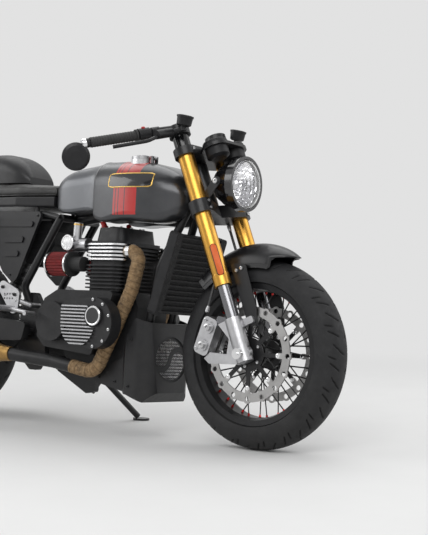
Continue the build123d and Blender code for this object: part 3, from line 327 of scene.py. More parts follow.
# Two tones and the range of roughness, then what else there is; grain is (scale, strength, pebble share)
finishLooks = {
    "tyreRubber": tones((0.018, 0.018, 0.019), (0.026, 0.026, 0.027), (0.55, 0.72), dust=0.05, specular=0.22,
                        dustTop=0.3, grain=(1400, 0.25, 0.2)),
    "rimBlack": tones((0.007, 0.007, 0.008), (0.011, 0.011, 0.012), (0.3, 0.38), specular=0.25, scuffs=0.03,
                      dust=0.02),
    "hubBlack": tones((0.008, 0.008, 0.009), (0.014, 0.014, 0.015), (0.3, 0.42), metal=0.3, scuffs=0.08, dust=0.04,
                      grain=(900, 0.12, 0.2)),
    "frameBlack": tones((0.007, 0.007, 0.008), (0.011, 0.011, 0.012), (0.3, 0.4), coat=0.1, specular=0.3,
                        coatRough=0.2, scuffs=0.05, dust=0.03),
    "engineBlack": tones((0.010, 0.010, 0.011), (0.018, 0.018, 0.019), (0.38, 0.5), specular=0.28, scuffs=0.06,
                         dust=0.04, grain=(1100, 0.3, 0.6)),
    "castSilver": tones((0.40, 0.40, 0.41), (0.48, 0.48, 0.49), (0.3, 0.44), metal=1.0, scuffs=0.12,
                        bare=(0.75, 0.75, 0.75), dust=0.06, grain=(1300, 0.18, 0.4)),
    "polishedAlloy": tones((0.72, 0.72, 0.73), (0.8, 0.8, 0.8), (0.1, 0.2), metal=1.0, scuffs=0.15,
                           bare=(0.5, 0.5, 0.5)),
    "darkChrome": tones((0.20, 0.20, 0.21), (0.24, 0.24, 0.25), (0.1, 0.16), metal=1.0),
    "millAlloy": tones((0.46, 0.46, 0.47), (0.55, 0.55, 0.56), (0.22, 0.32), metal=1.0, scuffs=0.12,
                       bare=(0.34, 0.34, 0.34)),
    "bronzeCollar": tones((0.44, 0.27, 0.09), (0.30, 0.18, 0.07), (0.3, 0.44), metal=1.0, patches=60, scuffs=0.15,
                          bare=(0.5, 0.36, 0.16)),
    "capAlloy": tones((0.38, 0.38, 0.39), (0.46, 0.46, 0.47), (0.32, 0.44), metal=1.0, scuffs=0.1,
                      bare=(0.5, 0.5, 0.5), grain=(1800, 0.06, 0.1)),
    "goldAnodised": tones((0.50, 0.265, 0.05), (0.55, 0.295, 0.06), (0.26, 0.34), metal=1.0, patches=12,
                          grain=(2600, 0.03, 0.0)),
    "brassRing": tones((0.75, 0.50, 0.16), (0.6, 0.4, 0.14), (0.2, 0.34), metal=1.0),
    "discSteel": tones((0.34, 0.335, 0.33), (0.43, 0.425, 0.42), (0.24, 0.36), metal=1.0, scuffs=0.2,
                       bare=(0.24, 0.23, 0.22)),
    "glossBlack": tones((0.006, 0.006, 0.007), (0.008, 0.008, 0.009), (0.14, 0.2), coat=0.8, coatRough=0.05,
                        scuffs=0.02, dust=0.03),
    "fenderBlack": tones((0.007, 0.007, 0.008), (0.010, 0.010, 0.011), (0.28, 0.36), specular=0.35, coat=0.15,
                         coatRough=0.2, scuffs=0.03, dust=0.03),
    "satinBlack": tones((0.008, 0.008, 0.009), (0.013, 0.013, 0.014), (0.34, 0.44), specular=0.3, coat=0.06,
                        coatRough=0.3, scuffs=0.04, dust=0.03, grain=(1800, 0.1, 0.3)),
    "blackPlastic": tones((0.009, 0.009, 0.010), (0.014, 0.014, 0.015), (0.38, 0.5), specular=0.25, scuffs=0.04,
                          grain=(1600, 0.22, 0.7)),
    "gripRubber": tones((0.014, 0.014, 0.014), (0.022, 0.022, 0.022), (0.6, 0.75), grain=(700, 0.5, 1.0)),
    "chainSteel": tones((0.30, 0.29, 0.27), (0.18, 0.16, 0.13), (0.3, 0.5), metal=1.0, patches=60, dust=0.2),
    "boltSteel": tones((0.42, 0.42, 0.43), (0.55, 0.55, 0.55), (0.22, 0.36), metal=1.0),
    "boltBlack": tones((0.02, 0.02, 0.021), (0.035, 0.035, 0.036), (0.3, 0.42), metal=0.6),
    "redAnodised": tones((0.48, 0.012, 0.010), (0.6, 0.02, 0.015), (0.24, 0.34), metal=0.6),
    "redRubber": tones((0.50, 0.012, 0.012), (0.38, 0.01, 0.01), (0.34, 0.46), grain=(1500, 0.12, 0.4)),
    "plaqueBlack": tones((0.007, 0.007, 0.008), (0.010, 0.010, 0.011), (0.16, 0.24), coat=0.6, coatRough=0.06),
    "plaqueGold": tones((0.68, 0.45, 0.13), (0.6, 0.38, 0.1), (0.24, 0.34), metal=1.0),
    "threadGrey": tones((0.05, 0.05, 0.05), (0.075, 0.074, 0.072), (0.6, 0.75)),
    "braid": tones((0.02, 0.02, 0.021), (0.05, 0.05, 0.052), (0.35, 0.5), patches=420, grain=(1500, 0.5, 1.0)),
    "pipeSteel": tones((0.26, 0.22, 0.18), (0.36, 0.31, 0.25), (0.28, 0.44), metal=1.0, patches=40, scuffs=0.2),
    "dialFace": tones((0.012, 0.012, 0.013), (0.02, 0.02, 0.021), (0.45, 0.55)),
    "dialMark": tones((0.75, 0.75, 0.72), (0.68, 0.68, 0.66), (0.45, 0.55)),
    "seatLeather": tones((0.009, 0.0088, 0.0085), (0.015, 0.0146, 0.014), (0.36, 0.48), sheen=0.06, sheenRough=0.4,
                         grain=(620, 0.5, 1.2), patches=16, scuffs=0.04, bare=(0.05, 0.047, 0.045)),
    "redLens": tones((0.42, 0.006, 0.006), (0.5, 0.01, 0.01), (0.12, 0.2), coat=1.0, coatRough=0.03,
                     grain=(260, 0.4, 1.0)),
    "amberReflector": tones((0.75, 0.13, 0.012), (0.6, 0.1, 0.01), (0.34, 0.42), specular=0.35, grain=(330, 0.9, 1.0)),
    "reflector": tones((0.72, 0.72, 0.74), (0.6912, 0.6912, 0.7104), (0.03, 0.09), metal=1.0),
    "mirrorGlass": tones((0.78, 0.8, 0.82), (0.7488, 0.768, 0.7872), (0.0, 0.03), metal=1.0),
}
finishes = {name: makeFinish(name, look)[0] for name, look in finishLooks.items()}


def paintTreadGrooveShade(grooveShadeColour):  # painted shade: the grooves are painted darker by their cut depth, standing in for the shade inside them
    material, tree, shader, spot, colour, rough = makeFinish("tyreTread", finishLooks["tyreRubber"])
    cut = put(tree, "ShaderNodeAttribute", attribute_name="cut").outputs["Fac"]
    feed(shader, {"Base Color": mixColour(tree, cut, colour, grooveShadeColour)})
    return material


# near-black painted shade for the tread's grooves
finishes["tyreTread"] = paintTreadGrooveShade((0.002, 0.002, 0.002))
print("plain finishes:", len(finishes))

# Finishes with a layout of their own
tankLook = {"colour": (0.030, 0.031, 0.034), "tint": (0.038, 0.039, 0.042), "rough": (0.29, 0.35), "metal": 0.6,
            "coat": 0.45, "coatRough": 0.2, "stripeColour": (0.42, 0.011, 0.009), "indentColour": (0.088, 0.092, 0.100),
            "indentEdge": 0.0605, "stripeFoot": 0.737, "neckSpot": (0.226, -0.058), "neckRadius": 0.0412,
            "neckColour": (0.62, 0.62, 0.63), "neckFoot": 0.9, "indentSoft": 0.001, "flakeScale": 2600.0,
            "flakeShare": 0.05, "flakeColour": (0.4, 0.41, 0.43),
            "stripes": ((0.174, 0.183), (0.1865, 0.196), (0.1995, 0.222), (0.2255, 0.271))}


def paintTank():
    material, tree, shader, spot, colour, rough = makeFinish("tankPaint", tankLook)
    parts = splitVector(tree, spot)
    flake = put(tree, "ShaderNodeTexVoronoi", {"Vector": spot, "Scale": tankLook["flakeScale"]}).outputs["Color"]
    colour = mixColour(tree, math1(tree, "MULTIPLY", flake, tankLook["flakeShare"]), colour, tankLook["flakeColour"])
    edge = tankLook["indentEdge"]
    indent = ramp(tree, parts["X"], edge, edge - tankLook["indentSoft"])
    colour = mixColour(tree, indent, colour, tankLook["indentColour"])
    band = None
    for start, end in tankLook["stripes"]:
        inside = withinBand(tree, parts["X"], (start + end) / 2, (end - start) / 2)
        band = inside if band is None else math1(tree, "MAXIMUM", band, inside)
    band = math1(tree, "MULTIPLY", band, math1(tree, "GREATER_THAN", parts["Z"], tankLook["stripeFoot"]))
    neckX, neckY = tankLook["neckSpot"]
    wide = math1(tree, "POWER", math1(tree, "SUBTRACT", parts["X"], neckX), 2.0)
    deep = math1(tree, "POWER", math1(tree, "SUBTRACT", parts["Y"], neckY), 2.0)
    near = math1(tree, "LESS_THAN", math1(tree, "ADD", wide, deep), tankLook["neckRadius"] ** 2)
    neck = math1(tree, "MULTIPLY", near, math1(tree, "GREATER_THAN", parts["Z"], tankLook["neckFoot"]))
    colour = mixColour(tree, band, colour, tankLook["stripeColour"])
    plain = math1(tree, "MULTIPLY", math1(tree, "SUBTRACT", 1.0, band), tankLook["metal"])
    feed(shader, {"Base Color": mixColour(tree, neck, colour, tankLook["neckColour"]),
                  "Metallic": mixValue(tree, neck, plain, 1.0)})
    return material


def paintFins(name, base, polished, middle, half, corner, sides):  # casting with machined fin edges, kept to its two sides; leaving the front fins black is painted shade
    material, tree, shader, spot, colour, rough = makeFinish(name, finishLooks[base])
    edge = useGroup(tree, finGroup, {"Vector": spot, "Middle": middle, "Half": half, "Corner": corner})[0]
    outwards = math1(tree, "ABSOLUTE", splitVector(tree, spot)["Y"])
    edge = math1(tree, "MULTIPLY", edge, math1(tree, "GREATER_THAN", outwards, sides))
    feed(shader, {"Base Color": mixColour(tree, edge, colour, finishLooks[polished]["colour"]),
                  "Roughness": mixValue(tree, edge, rough, 0.2), "Metallic": edge})
    return material


def paintSplit(name, base, other, axis, level, soft=0.0006):  # a second finish beyond a level along one direction
    material, tree, shader, spot, colour, rough = makeFinish(name, finishLooks[base])
    mask = ramp(tree, vector1(tree, "DOT_PRODUCT", spot, axis), level, level + soft)
    second = finishLooks[other]
    feed(shader, {"Base Color": mixColour(tree, mask, colour, second["colour"]),
                  "Roughness": mixValue(tree, mask, rough, sum(second["rough"]) / 2),
                  "Metallic": mixValue(tree, mask, finishLooks[base].get("metal", 0.0), second.get("metal", 0.0))})
    return material


def paintBand(name, base, other, axis, middle, half):  # the base finish only inside a band along one direction
    material, tree, shader, spot, colour, rough = makeFinish(name, finishLooks[base])
    inside = withinBand(tree, vector1(tree, "DOT_PRODUCT", spot, axis), middle, half)
    second = finishLooks[other]
    feed(shader, {"Base Color": mixColour(tree, inside, second["colour"], colour),
                  "Roughness": mixValue(tree, inside, sum(second["rough"]) / 2, rough)})
    return material


def turnedSteel(name, axle, base):  # fine rings turned about a wheel axle
    material, tree, shader, spot, colour, rough = makeFinish(name, finishLooks[base])
    flat = vector1(tree, "MULTIPLY", vector1(tree, "SUBTRACT", spot, Vector(axle) / 1000), (1, 0, 1))
    line = put(tree, "ShaderNodeTexNoise", {"W": vector1(tree, "LENGTH", flat), "Scale": 2200.0, "Detail": 3.0},
               noise_dimensions="1D").outputs[0]
    feed(shader, {"Roughness": math1(tree, "ADD", rough, math1(tree, "MULTIPLY", line, 0.12))})
    emboss(shader, line, 0.12, 0.0004)
    return material


wrapLook = {"colour": (0.27, 0.16, 0.07), "tint": (0.10, 0.06, 0.03), "worn": (0.40, 0.27, 0.14),
            "rough": (0.72, 0.9), "threads": 44.0, "rows": 0.0024, "pitch": 0.021, "patches": 34}


def weaveWrap():  # woven glass tape: its threads follow the run and the turn stored on the wound mesh
    material, tree, shader, spot, colour, rough = makeFinish("heatWrap", wrapLook)
    turn = splitVector(tree, put(tree, "ShaderNodeAttribute", attribute_name="turn").outputs["Vector"])
    run = put(tree, "ShaderNodeAttribute", attribute_name="run").outputs["Fac"]
    angle = math1(tree, "ARCTAN2", turn["Y"], turn["X"])
    warp = math1(tree, "SINE", math1(tree, "MULTIPLY", angle, wrapLook["threads"]))
    weft = math1(tree, "SINE", math1(tree, "MULTIPLY", run, 2 * math.pi / wrapLook["rows"]))
    weave = math1(tree, "MULTIPLY", warp, weft)
    shade = ramp(tree, weave, -1.0, 1.0, 0.6, 1.1)
    lap = math1(tree, "FRACT", math1(tree, "ADD", math1(tree, "DIVIDE", run, wrapLook["pitch"]),
                                     math1(tree, "DIVIDE", angle, 2 * math.pi)))
    edge = ramp(tree, lap, 0.0, 0.12, 0.35, 1.0)
    worn = useGroup(tree, mottleGroup, {"Vector": spot, "Scale": 110.0, "Low": 0.0, "High": 0.8})[0]
    colour = mixColour(tree, worn, colour, wrapLook["worn"])
    feed(shader, {"Base Color": scaleVector(tree, colour, math1(tree, "MULTIPLY", shade, edge))})
    emboss(shader, weave, 0.5, 0.0006)
    return material


finishLooks["filterGauze"] = tones((0.20, 0.010, 0.010), (0.11, 0.006, 0.006), (0.7, 0.85), patches=60,
                                   grain=(2400, 0.6, 1.0))
radiatorLook = tones((0.009, 0.009, 0.010), (0.015, 0.015, 0.016), (0.4, 0.55), specular=0.2, dust=0.04)


def paintRadiator():  # corrugated fins between the slats
    material, tree, shader, spot, colour, rough = makeFinish("radiatorBlack", radiatorLook)
    wave = put(tree, "ShaderNodeTexWave", {"Vector": spot, "Scale": 110.0, "Distortion": 0.0}, bands_direction="Y")
    emboss(shader, wave.outputs[1], 0.8, 0.002)
    return material


axleLevel = forkUp.dot(frontAxle) / 1000  # the front axle's height along the fork
finishes.update({
    "tankPaint": paintTank(),
    # fin polish only beyond 0.098 m out to the sides: the black front fins are painted shade
    "headFins": paintFins("headFins", "engineBlack", "polishedAlloy", (0.122, 0, 0), (0.045, 0.084, 9), 0.044, 0.098),
    "forkGold": paintSplit("forkGold", "goldAnodised", "glossBlack", forkUp, axleLevel + 0.7065),
    "filterGauze": paintBand("filterGauze", "filterGauze", "gripRubber", (1, 0, 0), -0.072, 0.0397),
    "clutchRibs": paintSplit("clutchRibs", "engineBlack", "millAlloy", (0, -1, 0), 0.1945),
    "forkFoot": paintSplit("forkFoot", "castSilver", "darkChrome", forkUp, axleLevel + 0.1175),
    "alternatorCase": paintSplit("alternatorCase", "engineBlack", "millAlloy", (0, 1, 0), 0.1885),
    "frontDisc": turnedSteel("frontDisc", frontAxle, "discSteel"),
    "rearDisc": turnedSteel("rearDisc", rearAxle, "discSteel"),
    "heatWrap": weaveWrap(),
    "radiatorBlack": paintRadiator(),
})


def glassMaterial(name, colour, rough, ior=1.5):
    material, tree, shader = startMaterial(name, {"colour": colour, "transmission": 1.0, "ior": ior, "coat": 0.3})
    spot = useGroup(tree, uprightGroup, {})["Vector"]
    haze = useGroup(tree, mottleGroup, {"Vector": spot, "Scale": 40.0, "Low": rough, "High": rough + 0.03})[0]
    feed(shader, {"Roughness": haze})
    shader.inputs["Base Color"].default_value = (*colour, 1)
    return material


finishes["lampGlass"] = glassMaterial("lampGlass", (0.97, 0.97, 0.97), 0.0)

nodeFinishes = {
    "rimBlack": ("front_rim", "rear_rim"), "hubBlack": ("front_hub", "rear_hub"), "frontDisc": ("front_discs",),
    "rearDisc": ("rear_disc",),
    "frameBlack": ("lower_yoke", "top_yoke", "headlamp_stays", "handlebars", "frame", "side_stand", "swingarm",
                   "rear_shocks", "swingarm_bosses"),
    "forkGold": ("fork_tubes",), "forkFoot": ("fork_lowers",), "polishedAlloy": ("front_axle", "rear_axle"),
    "castSilver": ("front_calipers", "rear_caliper", "throttle_bodies", "rearsets"), "fenderBlack": ("front_fender",),
    "glossBlack": ("headlamp",), "blackPlastic": ("gauges", "controls", "belly_grille", "battery_box"),
    "gripRubber": ("grips",),
    "satinBlack": ("mirrors", "silencers", "belly_pan", "seat_base", "tail_cowl", "side_panels"),
    "braid": ("brake_hoses",), "chainSteel": ("chain",),
    "engineBlack": ("crankcase", "sprocket_cover", "cylinder_block"), "clutchRibs": ("clutch_cover",),
    "alternatorCase": ("alternator_cover",), "headFins": ("cylinder_head",), "filterGauze": ("air_filters",),
    "pipeSteel": ("exhaust_headers",), "radiatorBlack": ("radiator",), "tankPaint": ("fuel_tank",),
    "capAlloy": ("filler_cap",), "redLens": ("tail_lamp",), "redRubber": ("plug_caps",),
}
for finish, nodes in nodeFinishes.items():
    for node in nodes:
        slots = frame["nodes"][node].data.materials
        slots.clear()
        slots.append(finishes[finish])
print("CAD nodes dressed:", sum(len(nodes) for nodes in nodeFinishes.values()))

# Tyres with cut tread, in place of the plain crowns
tyres = {
    "frontTread": {"node": "front_tyre", "body": "front_wheel", "axle": frontAxle, "radius": 300, "width": 120,
                   "rimHalf": 52, "pitches": 18, "depth": 3.4, "groove": 5.8},
    "rearTread": {"node": "rear_tyre", "body": "rear_wheel", "axle": rearAxle, "radius": 312, "width": 160,
                  "rimHalf": 70, "pitches": 16, "depth": 3.8, "groove": 6.6}}
tyreRing = {"around": 720, "crown": 64, "rimLip": 224, "rimBed": 212.3, "ridgeTurn": 1.42, "ridgeHalf": 0.035,
            "ridgeRise": 1.1, "cutFade": 0.05, "cutSoft": 1.4, "sideGap": 3.5, "lipGap": 0.6, "tuckIn": 6.5,
            "beadIn": 8.5, "treadShare": 0.72, "uncut": 2.0,
            "cuts": ((0.12, 0.62, 1.4, 0.05, 0.66), (0.55, 0.42, 1.1, 0.28, 0.82), (0.86, 0.25, 1.0, 0.5, 0.9))}


def grooveDepth(turn, spread, size):  # how deep the tread is cut at a turn and a place across the crown
    pitch = size["radius"] * 2 * math.pi / size["pitches"]
    side = np.abs(spread)
    phase = (turn * size["pitches"] / (2 * math.pi) + np.where(spread > 0, 0.5, 0.0)) % 1.0
    depth = np.zeros_like(phase)
    for start, bend, power, low, high in tyreRing["cuts"]:
        line = start + bend * side ** power
        gap = np.abs((phase - line + 0.5) % 1.0 - 0.5) * pitch
        fade = tyreRing["cutFade"]
        ends = np.clip((side - low) / fade, 0, 1) * np.clip((high - side) / fade, 0, 1)
        depth = np.maximum(depth, np.clip((size["groove"] / 2 - gap) / tyreRing["cutSoft"] + 0.5, 0, 1) * ends)
    return depth * size["depth"]


def makeTyre(name, size):
    crown = size["radius"] - size["width"] / 2
    half = size["width"] / 2
    low = math.asin((tyreRing["rimLip"] + tyreRing["sideGap"] - crown) / half)
    angles = np.linspace(low, math.pi - low, tyreRing["crown"])
    tuck, bead = size["rimHalf"] - tyreRing["tuckIn"], size["rimHalf"] - tyreRing["beadIn"]
    lip, bed = tyreRing["rimLip"] + tyreRing["lipGap"], tyreRing["rimBed"]
    acrossLine = [bead, tuck] + list(half * np.cos(angles)) + [-tuck, -bead]
    radiusLine = [bed, lip] + list(crown + half * np.sin(angles)) + [lip, bed]
    plain = [tyreRing["uncut"]] * 2
    spread = plain + list((math.pi / 2 - angles) / (math.pi / 2 * tyreRing["treadShare"])) + plain
    onRidge = np.abs(np.abs(math.pi / 2 - angles) - tyreRing["ridgeTurn"]) < tyreRing["ridgeHalf"]
    sideRidge = [0, 0] + list(np.where(onRidge, tyreRing["ridgeRise"], 0.0)) + [0, 0]
    turns = np.linspace(0, 2 * math.pi, tyreRing["around"], endpoint=False)
    grid = grooveDepth(turns[:, None], np.array(spread)[None, :], size)
    reach = np.array(radiusLine)[None, :] - grid + np.array(sideRidge)[None, :]
    verts = [bike(wheelSpot(size["axle"], reach[index, column], turn, left))
             for index, turn in enumerate(turns) for column, left in enumerate(acrossLine)]
    faces = gridFaces(len(turns), len(acrossLine), closeRows=True)
    tyre = addPiece(name, verts, faces, "tyreTread", sharp=50, recalc=True)
    # the cut depth is also the mask of the tread's painted groove shade
    cut = tyre.data.attributes.new("cut", "FLOAT", "POINT")
    cut.data.foreach_set("value", (grid / size["depth"]).astype(np.float32).ravel())
    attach(tyre, size["body"])
    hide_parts(size["node"])


for name, size in tyres.items():
    makeTyre(name, size)
print("tyres cut")


# Geometry tree helpers
def geometryTree(name, inputs):
    inputs = [("Geometry", "Geometry", None), *inputs, ("Material", "Material", None)]
    return newTree(name, "GeometryNodeTree", inputs, [("Geometry", "Geometry")])


def closeTree(tree, geometry, material, out):
    real = put(tree, "GeometryNodeRealizeInstances", {"Geometry": geometry})
    dressed = put(tree, "GeometryNodeSetMaterial", {"Geometry": real.outputs[0], "Material": material})
    tree.links.new(dressed.outputs[0], out["Geometry"])
    return tree


def growPiece(name, host, tree, values, body, sharp=35):  # plain mesh of a tree run on marked points or paths
    values = {**values, "Material": finishes[values["Material"]]}
    modifier = host.modifiers.new(name, "NODES")
    modifier.node_group = tree
    for item in tree.interface.items_tree:
        if item.in_out == "INPUT" and item.name in values:
            modifier[item.identifier] = values[item.name]
    shape = host.evaluated_get(bpy.context.evaluated_depsgraph_get())
    mesh = bpy.data.meshes.new_from_object(shape)
    host.modifiers.remove(modifier)
    bpy.data.objects.remove(host)
    mesh.shade_smooth()
    mesh.set_sharp_from_angle(angle=math.radians(sharp))
    mesh.name = name
    piece = bpy.data.objects.new(name, mesh)
    scene.collection.objects.link(piece)
    return mount(piece, body)


def markHost(name, verts, edges, attributes):
    mesh = bpy.data.meshes.new(name)
    mesh.from_pydata(verts, edges, [])
    for label, kind, field, values in attributes:
        mesh.attributes.new(label, kind, "POINT").data.foreach_set(field, values)
    host = bpy.data.objects.new(name + "Marks", mesh)
    scene.collection.objects.link(host)
    return host


def markPoints(name, rows):  # rows of (upright point, facing, size) and, where it matters, the way the shape runs
    facing = [value for row in rows for value in way(row[1])]
    along = [value for row in rows for value in (way(row[3]) if len(row) > 3 else (0, 0, 0))]
    return markHost(name, [tuple(bike(row[0])) for row in rows], [], (
        ("facing", "FLOAT_VECTOR", "vector", facing), ("along", "FLOAT_VECTOR", "vector", along),
        ("sizing", "FLOAT", "value", [row[2] for row in rows])))


def stored(tree, name, kind="FLOAT"):
    return put(tree, "GeometryNodeInputNamedAttribute", {"Name": name}, data_type=kind).outputs[0]


def standOnPoints(tree, points, shape):  # instances of a shape, turned to face and sized as the points say
    facing, along = stored(tree, "facing", "FLOAT_VECTOR"), stored(tree, "along", "FLOAT_VECTOR")
    turned = put(tree, "FunctionNodeAlignRotationToVector", {"Vector": facing}, axis="Z").outputs[0]
    aimed = put(tree, "FunctionNodeAlignRotationToVector", {"Rotation": turned, "Vector": along}, axis="X",
                pivot_axis="Z").outputs[0]
    return put(tree, "GeometryNodeInstanceOnPoints", {"Points": points, "Instance": shape, "Rotation": aimed,
                                                      "Scale": stored(tree, "sizing")}).outputs[0]


def markPaths(name, paths, bends=()):  # polylines of upright points, with the bend radius at each inner point
    verts, edges, radii = [], [], []
    for path in paths:
        edges += [(len(verts) + step, len(verts) + step + 1) for step in range(len(path) - 1)]
        verts += [tuple(bike(point)) for point in path]
        radii += [0.0, *[bend / 1000 for bend in bends], 0.0] if bends else [0.0] * len(path)
    return markHost(name, verts, edges, [("bend", "FLOAT", "value", radii)])


def uprightTree(mesh):  # ray tree of a mesh in upright millimetres
    back = leanTurn.inverted()
    spots = [back @ (vert.co - shift) * 1000 for vert in mesh.vertices]
    return BVHTree.FromPolygons(spots, [tuple(face.vertices) for face in mesh.polygons])


def liftShape(tree, shape, lift):
    place = put(tree, "ShaderNodeCombineXYZ", {"Z": lift})
    return put(tree, "GeometryNodeTransform", {"Geometry": shape, "Translation": place.outputs[0]}).outputs[0]


# Fasteners: one tree sets a socket-headed screw on every marked point
def screwTree():
    tree, given, out = geometryTree("socketScrew", [
        ("Head radius", "Float", 0.005), ("Head height", "Float", 0.004), ("Socket share", "Float", 0.55),
        ("Sides", "Int", 12)])
    radius, height, sides = given["Head radius"], given["Head height"], given["Sides"]
    socket = math1(tree, "MULTIPLY", radius, given["Socket share"])
    floor = math1(tree, "MULTIPLY", height, 0.35)
    chamfer = math1(tree, "MULTIPLY", radius, 0.1)
    wallHeight = math1(tree, "SUBTRACT", height, chamfer)

    def tube(size, depth):
        return put(tree, "GeometryNodeMeshCylinder", {"Vertices": sides, "Radius": size, "Depth": depth},
                   fill_type="NONE").outputs["Mesh"]

    def plate(size):
        return put(tree, "GeometryNodeMeshCircle", {"Vertices": sides, "Radius": size}, fill_type="NGON").outputs[0]

    def turnedOver(mesh):
        return put(tree, "GeometryNodeFlipFaces", {"Mesh": mesh}).outputs[0]

    wall = tube(radius, wallHeight)
    top = put(tree, "GeometryNodeMeshCone", {"Vertices": sides, "Radius Top": socket, "Radius Bottom": radius,
                                             "Depth": chamfer}, fill_type="NONE").outputs["Mesh"]
    well = turnedOver(tube(socket, math1(tree, "SUBTRACT", height, floor)))
    base, foot = plate(socket), turnedOver(plate(radius))
    joined = put(tree, "GeometryNodeJoinGeometry")
    for shape, lift in ((wall, math1(tree, "MULTIPLY", wallHeight, 0.5)), (top, wallHeight), (base, floor), (foot, 0.0),
                        (well, math1(tree, "MULTIPLY", math1(tree, "ADD", height, floor), 0.5))):
        tree.links.new(liftShape(tree, shape, lift), joined.inputs[0])
    screw = put(tree, "GeometryNodeMergeByDistance", {"Geometry": joined.outputs[0], "Distance": 1e-6}).outputs[0]
    return closeTree(tree, standOnPoints(tree, given["Geometry"], screw), given["Material"], out)


screws = screwTree()
right, left, upwards, forwards = (0, -1, 0), (0, 1, 0), (0, 0, 1), (1, 0, 0)


def polar(radius, degrees):
    return radius * math.cos(math.radians(degrees)), radius * math.sin(math.radians(degrees))


def ringRows(middle, radius, turns, level, direction, size=1.0):  # a ring of points in side view
    spots = [polar(radius, turn) for turn in turns]
    return [((middle[0] + x, level, middle[1] + z), direction, size) for x, z in spots]


caliper = {"turn": 137.7, "reach": 148.0, "face": 118.0}
caliperTurn = math.radians(caliper["turn"])
caliperOut = forkForward * math.cos(caliperTurn) + forkUp * math.sin(caliperTurn)
caliperAlong = Vector((0, -1, 0)).cross(caliperOut)


def caliperSpot(out, along, left):
    return frontAxle + caliperOut * (caliper["reach"] + out) + caliperAlong * along + across * left


engineScrews = ringRows((150, 372), 78, (-82, -48, -14, 20, 54, 88), -188.3, right)
engineScrews += ringRows((150, 372), 80, range(0, 360, 45), 182, left)
engineScrews += ringRows((150, 372), 50, range(30, 390, 120), 190, left, 0.9)
engineScrews += [((-165, 160, 334), left, 1.0), ((-115, 160, 388), left, 1.0), ((-40, 160, 403), left, 1.0),
                 ((-40, 160, 287), left, 1.0), ((-115, 160, 280), left, 1.0)]
engineScrews += [((x, y, 700), upwards, 1.1) for x in (75, 169) for y in (-32, 32)]
engineScrews += [((122 + x, hand * 52, 704), upwards, 0.9) for x in (-17, 17) for hand in (-1, 1)]
bodyScrews = []
steeringScrews = []
for hand in (-1, 1):
    out = (0, hand, 0)
    bodyScrews += [((x, hand * y, z), out, 0.9) for x, y, z in ((110, 90, 190), (180, 90, 180), (264, 122, 170),
                                                                (270, 122, 325))]
    bodyScrews += [((-190, hand * 122, 742), out, 0.8), ((-385, hand * 122, 690), out, 0.8),
                   ((-312, hand * 122, 530), out, 0.8)]
    bodyScrews += [((-292, hand * 171, 484), out, 1.2), ((-232, hand * 171, 458), out, 1.2)]
    steeringScrews += [((563, hand * 97, 845), out, 1.7)]
    steeringScrews += [(forkSpot(48, hand * 82, 262), out, 1.1), (forkSpot(68, hand * 82, 262), out, 1.1)]
    steeringScrews += [(caliperSpot(18, y, hand * caliper["face"]), out, 1.0) for y in (-48, 48)]
    steeringScrews += [(caliperSpot(-2, y, hand * (caliper["face"] + 5)), out, 2.2) for y in (-30, 30)]
    steeringScrews += [(forkSpot(37, hand * 105, up), forkForward, 1.1) for up in (484, 508, 692)]
hubScrews = [(wheelSpot(frontAxle, 40, math.radians(turn), hand * 72.5), (0, hand, 0), 1.0)
             for turn in range(36, 396, 72) for hand in (-1, 1)]
sprocketScrews = [(wheelSpot(rearAxle, 44, math.radians(turn), 104), left, 1.1) for turn in range(36, 396, 72)]
capScrews = [((226 + x, -58 + y, 941), upwards, 0.55) for x, y in (polar(34.5, turn) for turn in range(30, 390, 60))]
screwSets = {
    "engineScrews": (engineScrews, "chassis", "boltSteel", "silver_cast"),
    "bodyScrews": (bodyScrews, "chassis", "boltBlack", "black_metal"),
    "steeringScrews": (steeringScrews, "steering", "boltSteel", "silver_cast"),
    "hubScrews": (hubScrews, "front_wheel", "boltSteel", "silver_cast"),
    "sprocketScrews": (sprocketScrews, "rear_wheel", "boltSteel", "silver_cast"),
    "capScrews": (capScrews, "filler_cap", "boltSteel", "silver_cast")}
screwLook = {"radius": 0.0052, "height": 0.0042}
for name, (rows, body, finish, slot) in screwSets.items():
    growPiece(name, markPoints(name, rows), screws, {
        "Head radius": screwLook["radius"], "Head height": screwLook["height"], "Material": finish}, body)
print("screws set:", sum(len(rows[0]) for rows in screwSets.values()))

# Floating buttons between each disc and its carrier
buttonLook = {"radius": 0.0075, "height": 0.0018, "hole": 0.6, "sides": 16}
buttonSets = {
    "frontButtons": ([(wheelSpot(frontAxle, 106, math.radians(turn), hand * 70 + face * 2.5), (0, face, 0), 1.0)
                      for turn in range(0, 360, 45) for hand in (-1, 1) for face in (-1, 1)], "front_wheel"),
    "rearButtons": ([(wheelSpot(rearAxle, 74, math.radians(turn), -92 + face * 2.5), (0, face, 0), 0.9)
                     for turn in range(0, 360, 45) for face in (-1, 1)], "rear_wheel")}
for name, (rows, body) in buttonSets.items():
    growPiece(name, markPoints(name, rows), screws, {
        "Head radius": buttonLook["radius"], "Head height": buttonLook["height"], "Socket share": buttonLook["hole"],
        "Sides": buttonLook["sides"], "Material": "polishedAlloy"}, body)


# Red nipples where the spokes meet the rims
def nippleTree():
    tree, given, out = geometryTree("spokeNipple", [
        ("Foot radius", "Float", 0.0042), ("Neck radius", "Float", 0.0031), ("Length", "Float", 0.0075)])
    body = put(tree, "GeometryNodeMeshCone", {"Vertices": 10, "Radius Bottom": given["Foot radius"],
                                              "Radius Top": given["Neck radius"], "Depth": given["Length"]})
    return closeTree(tree, standOnPoints(tree, given["Geometry"], body.outputs["Mesh"]), given["Material"], out)


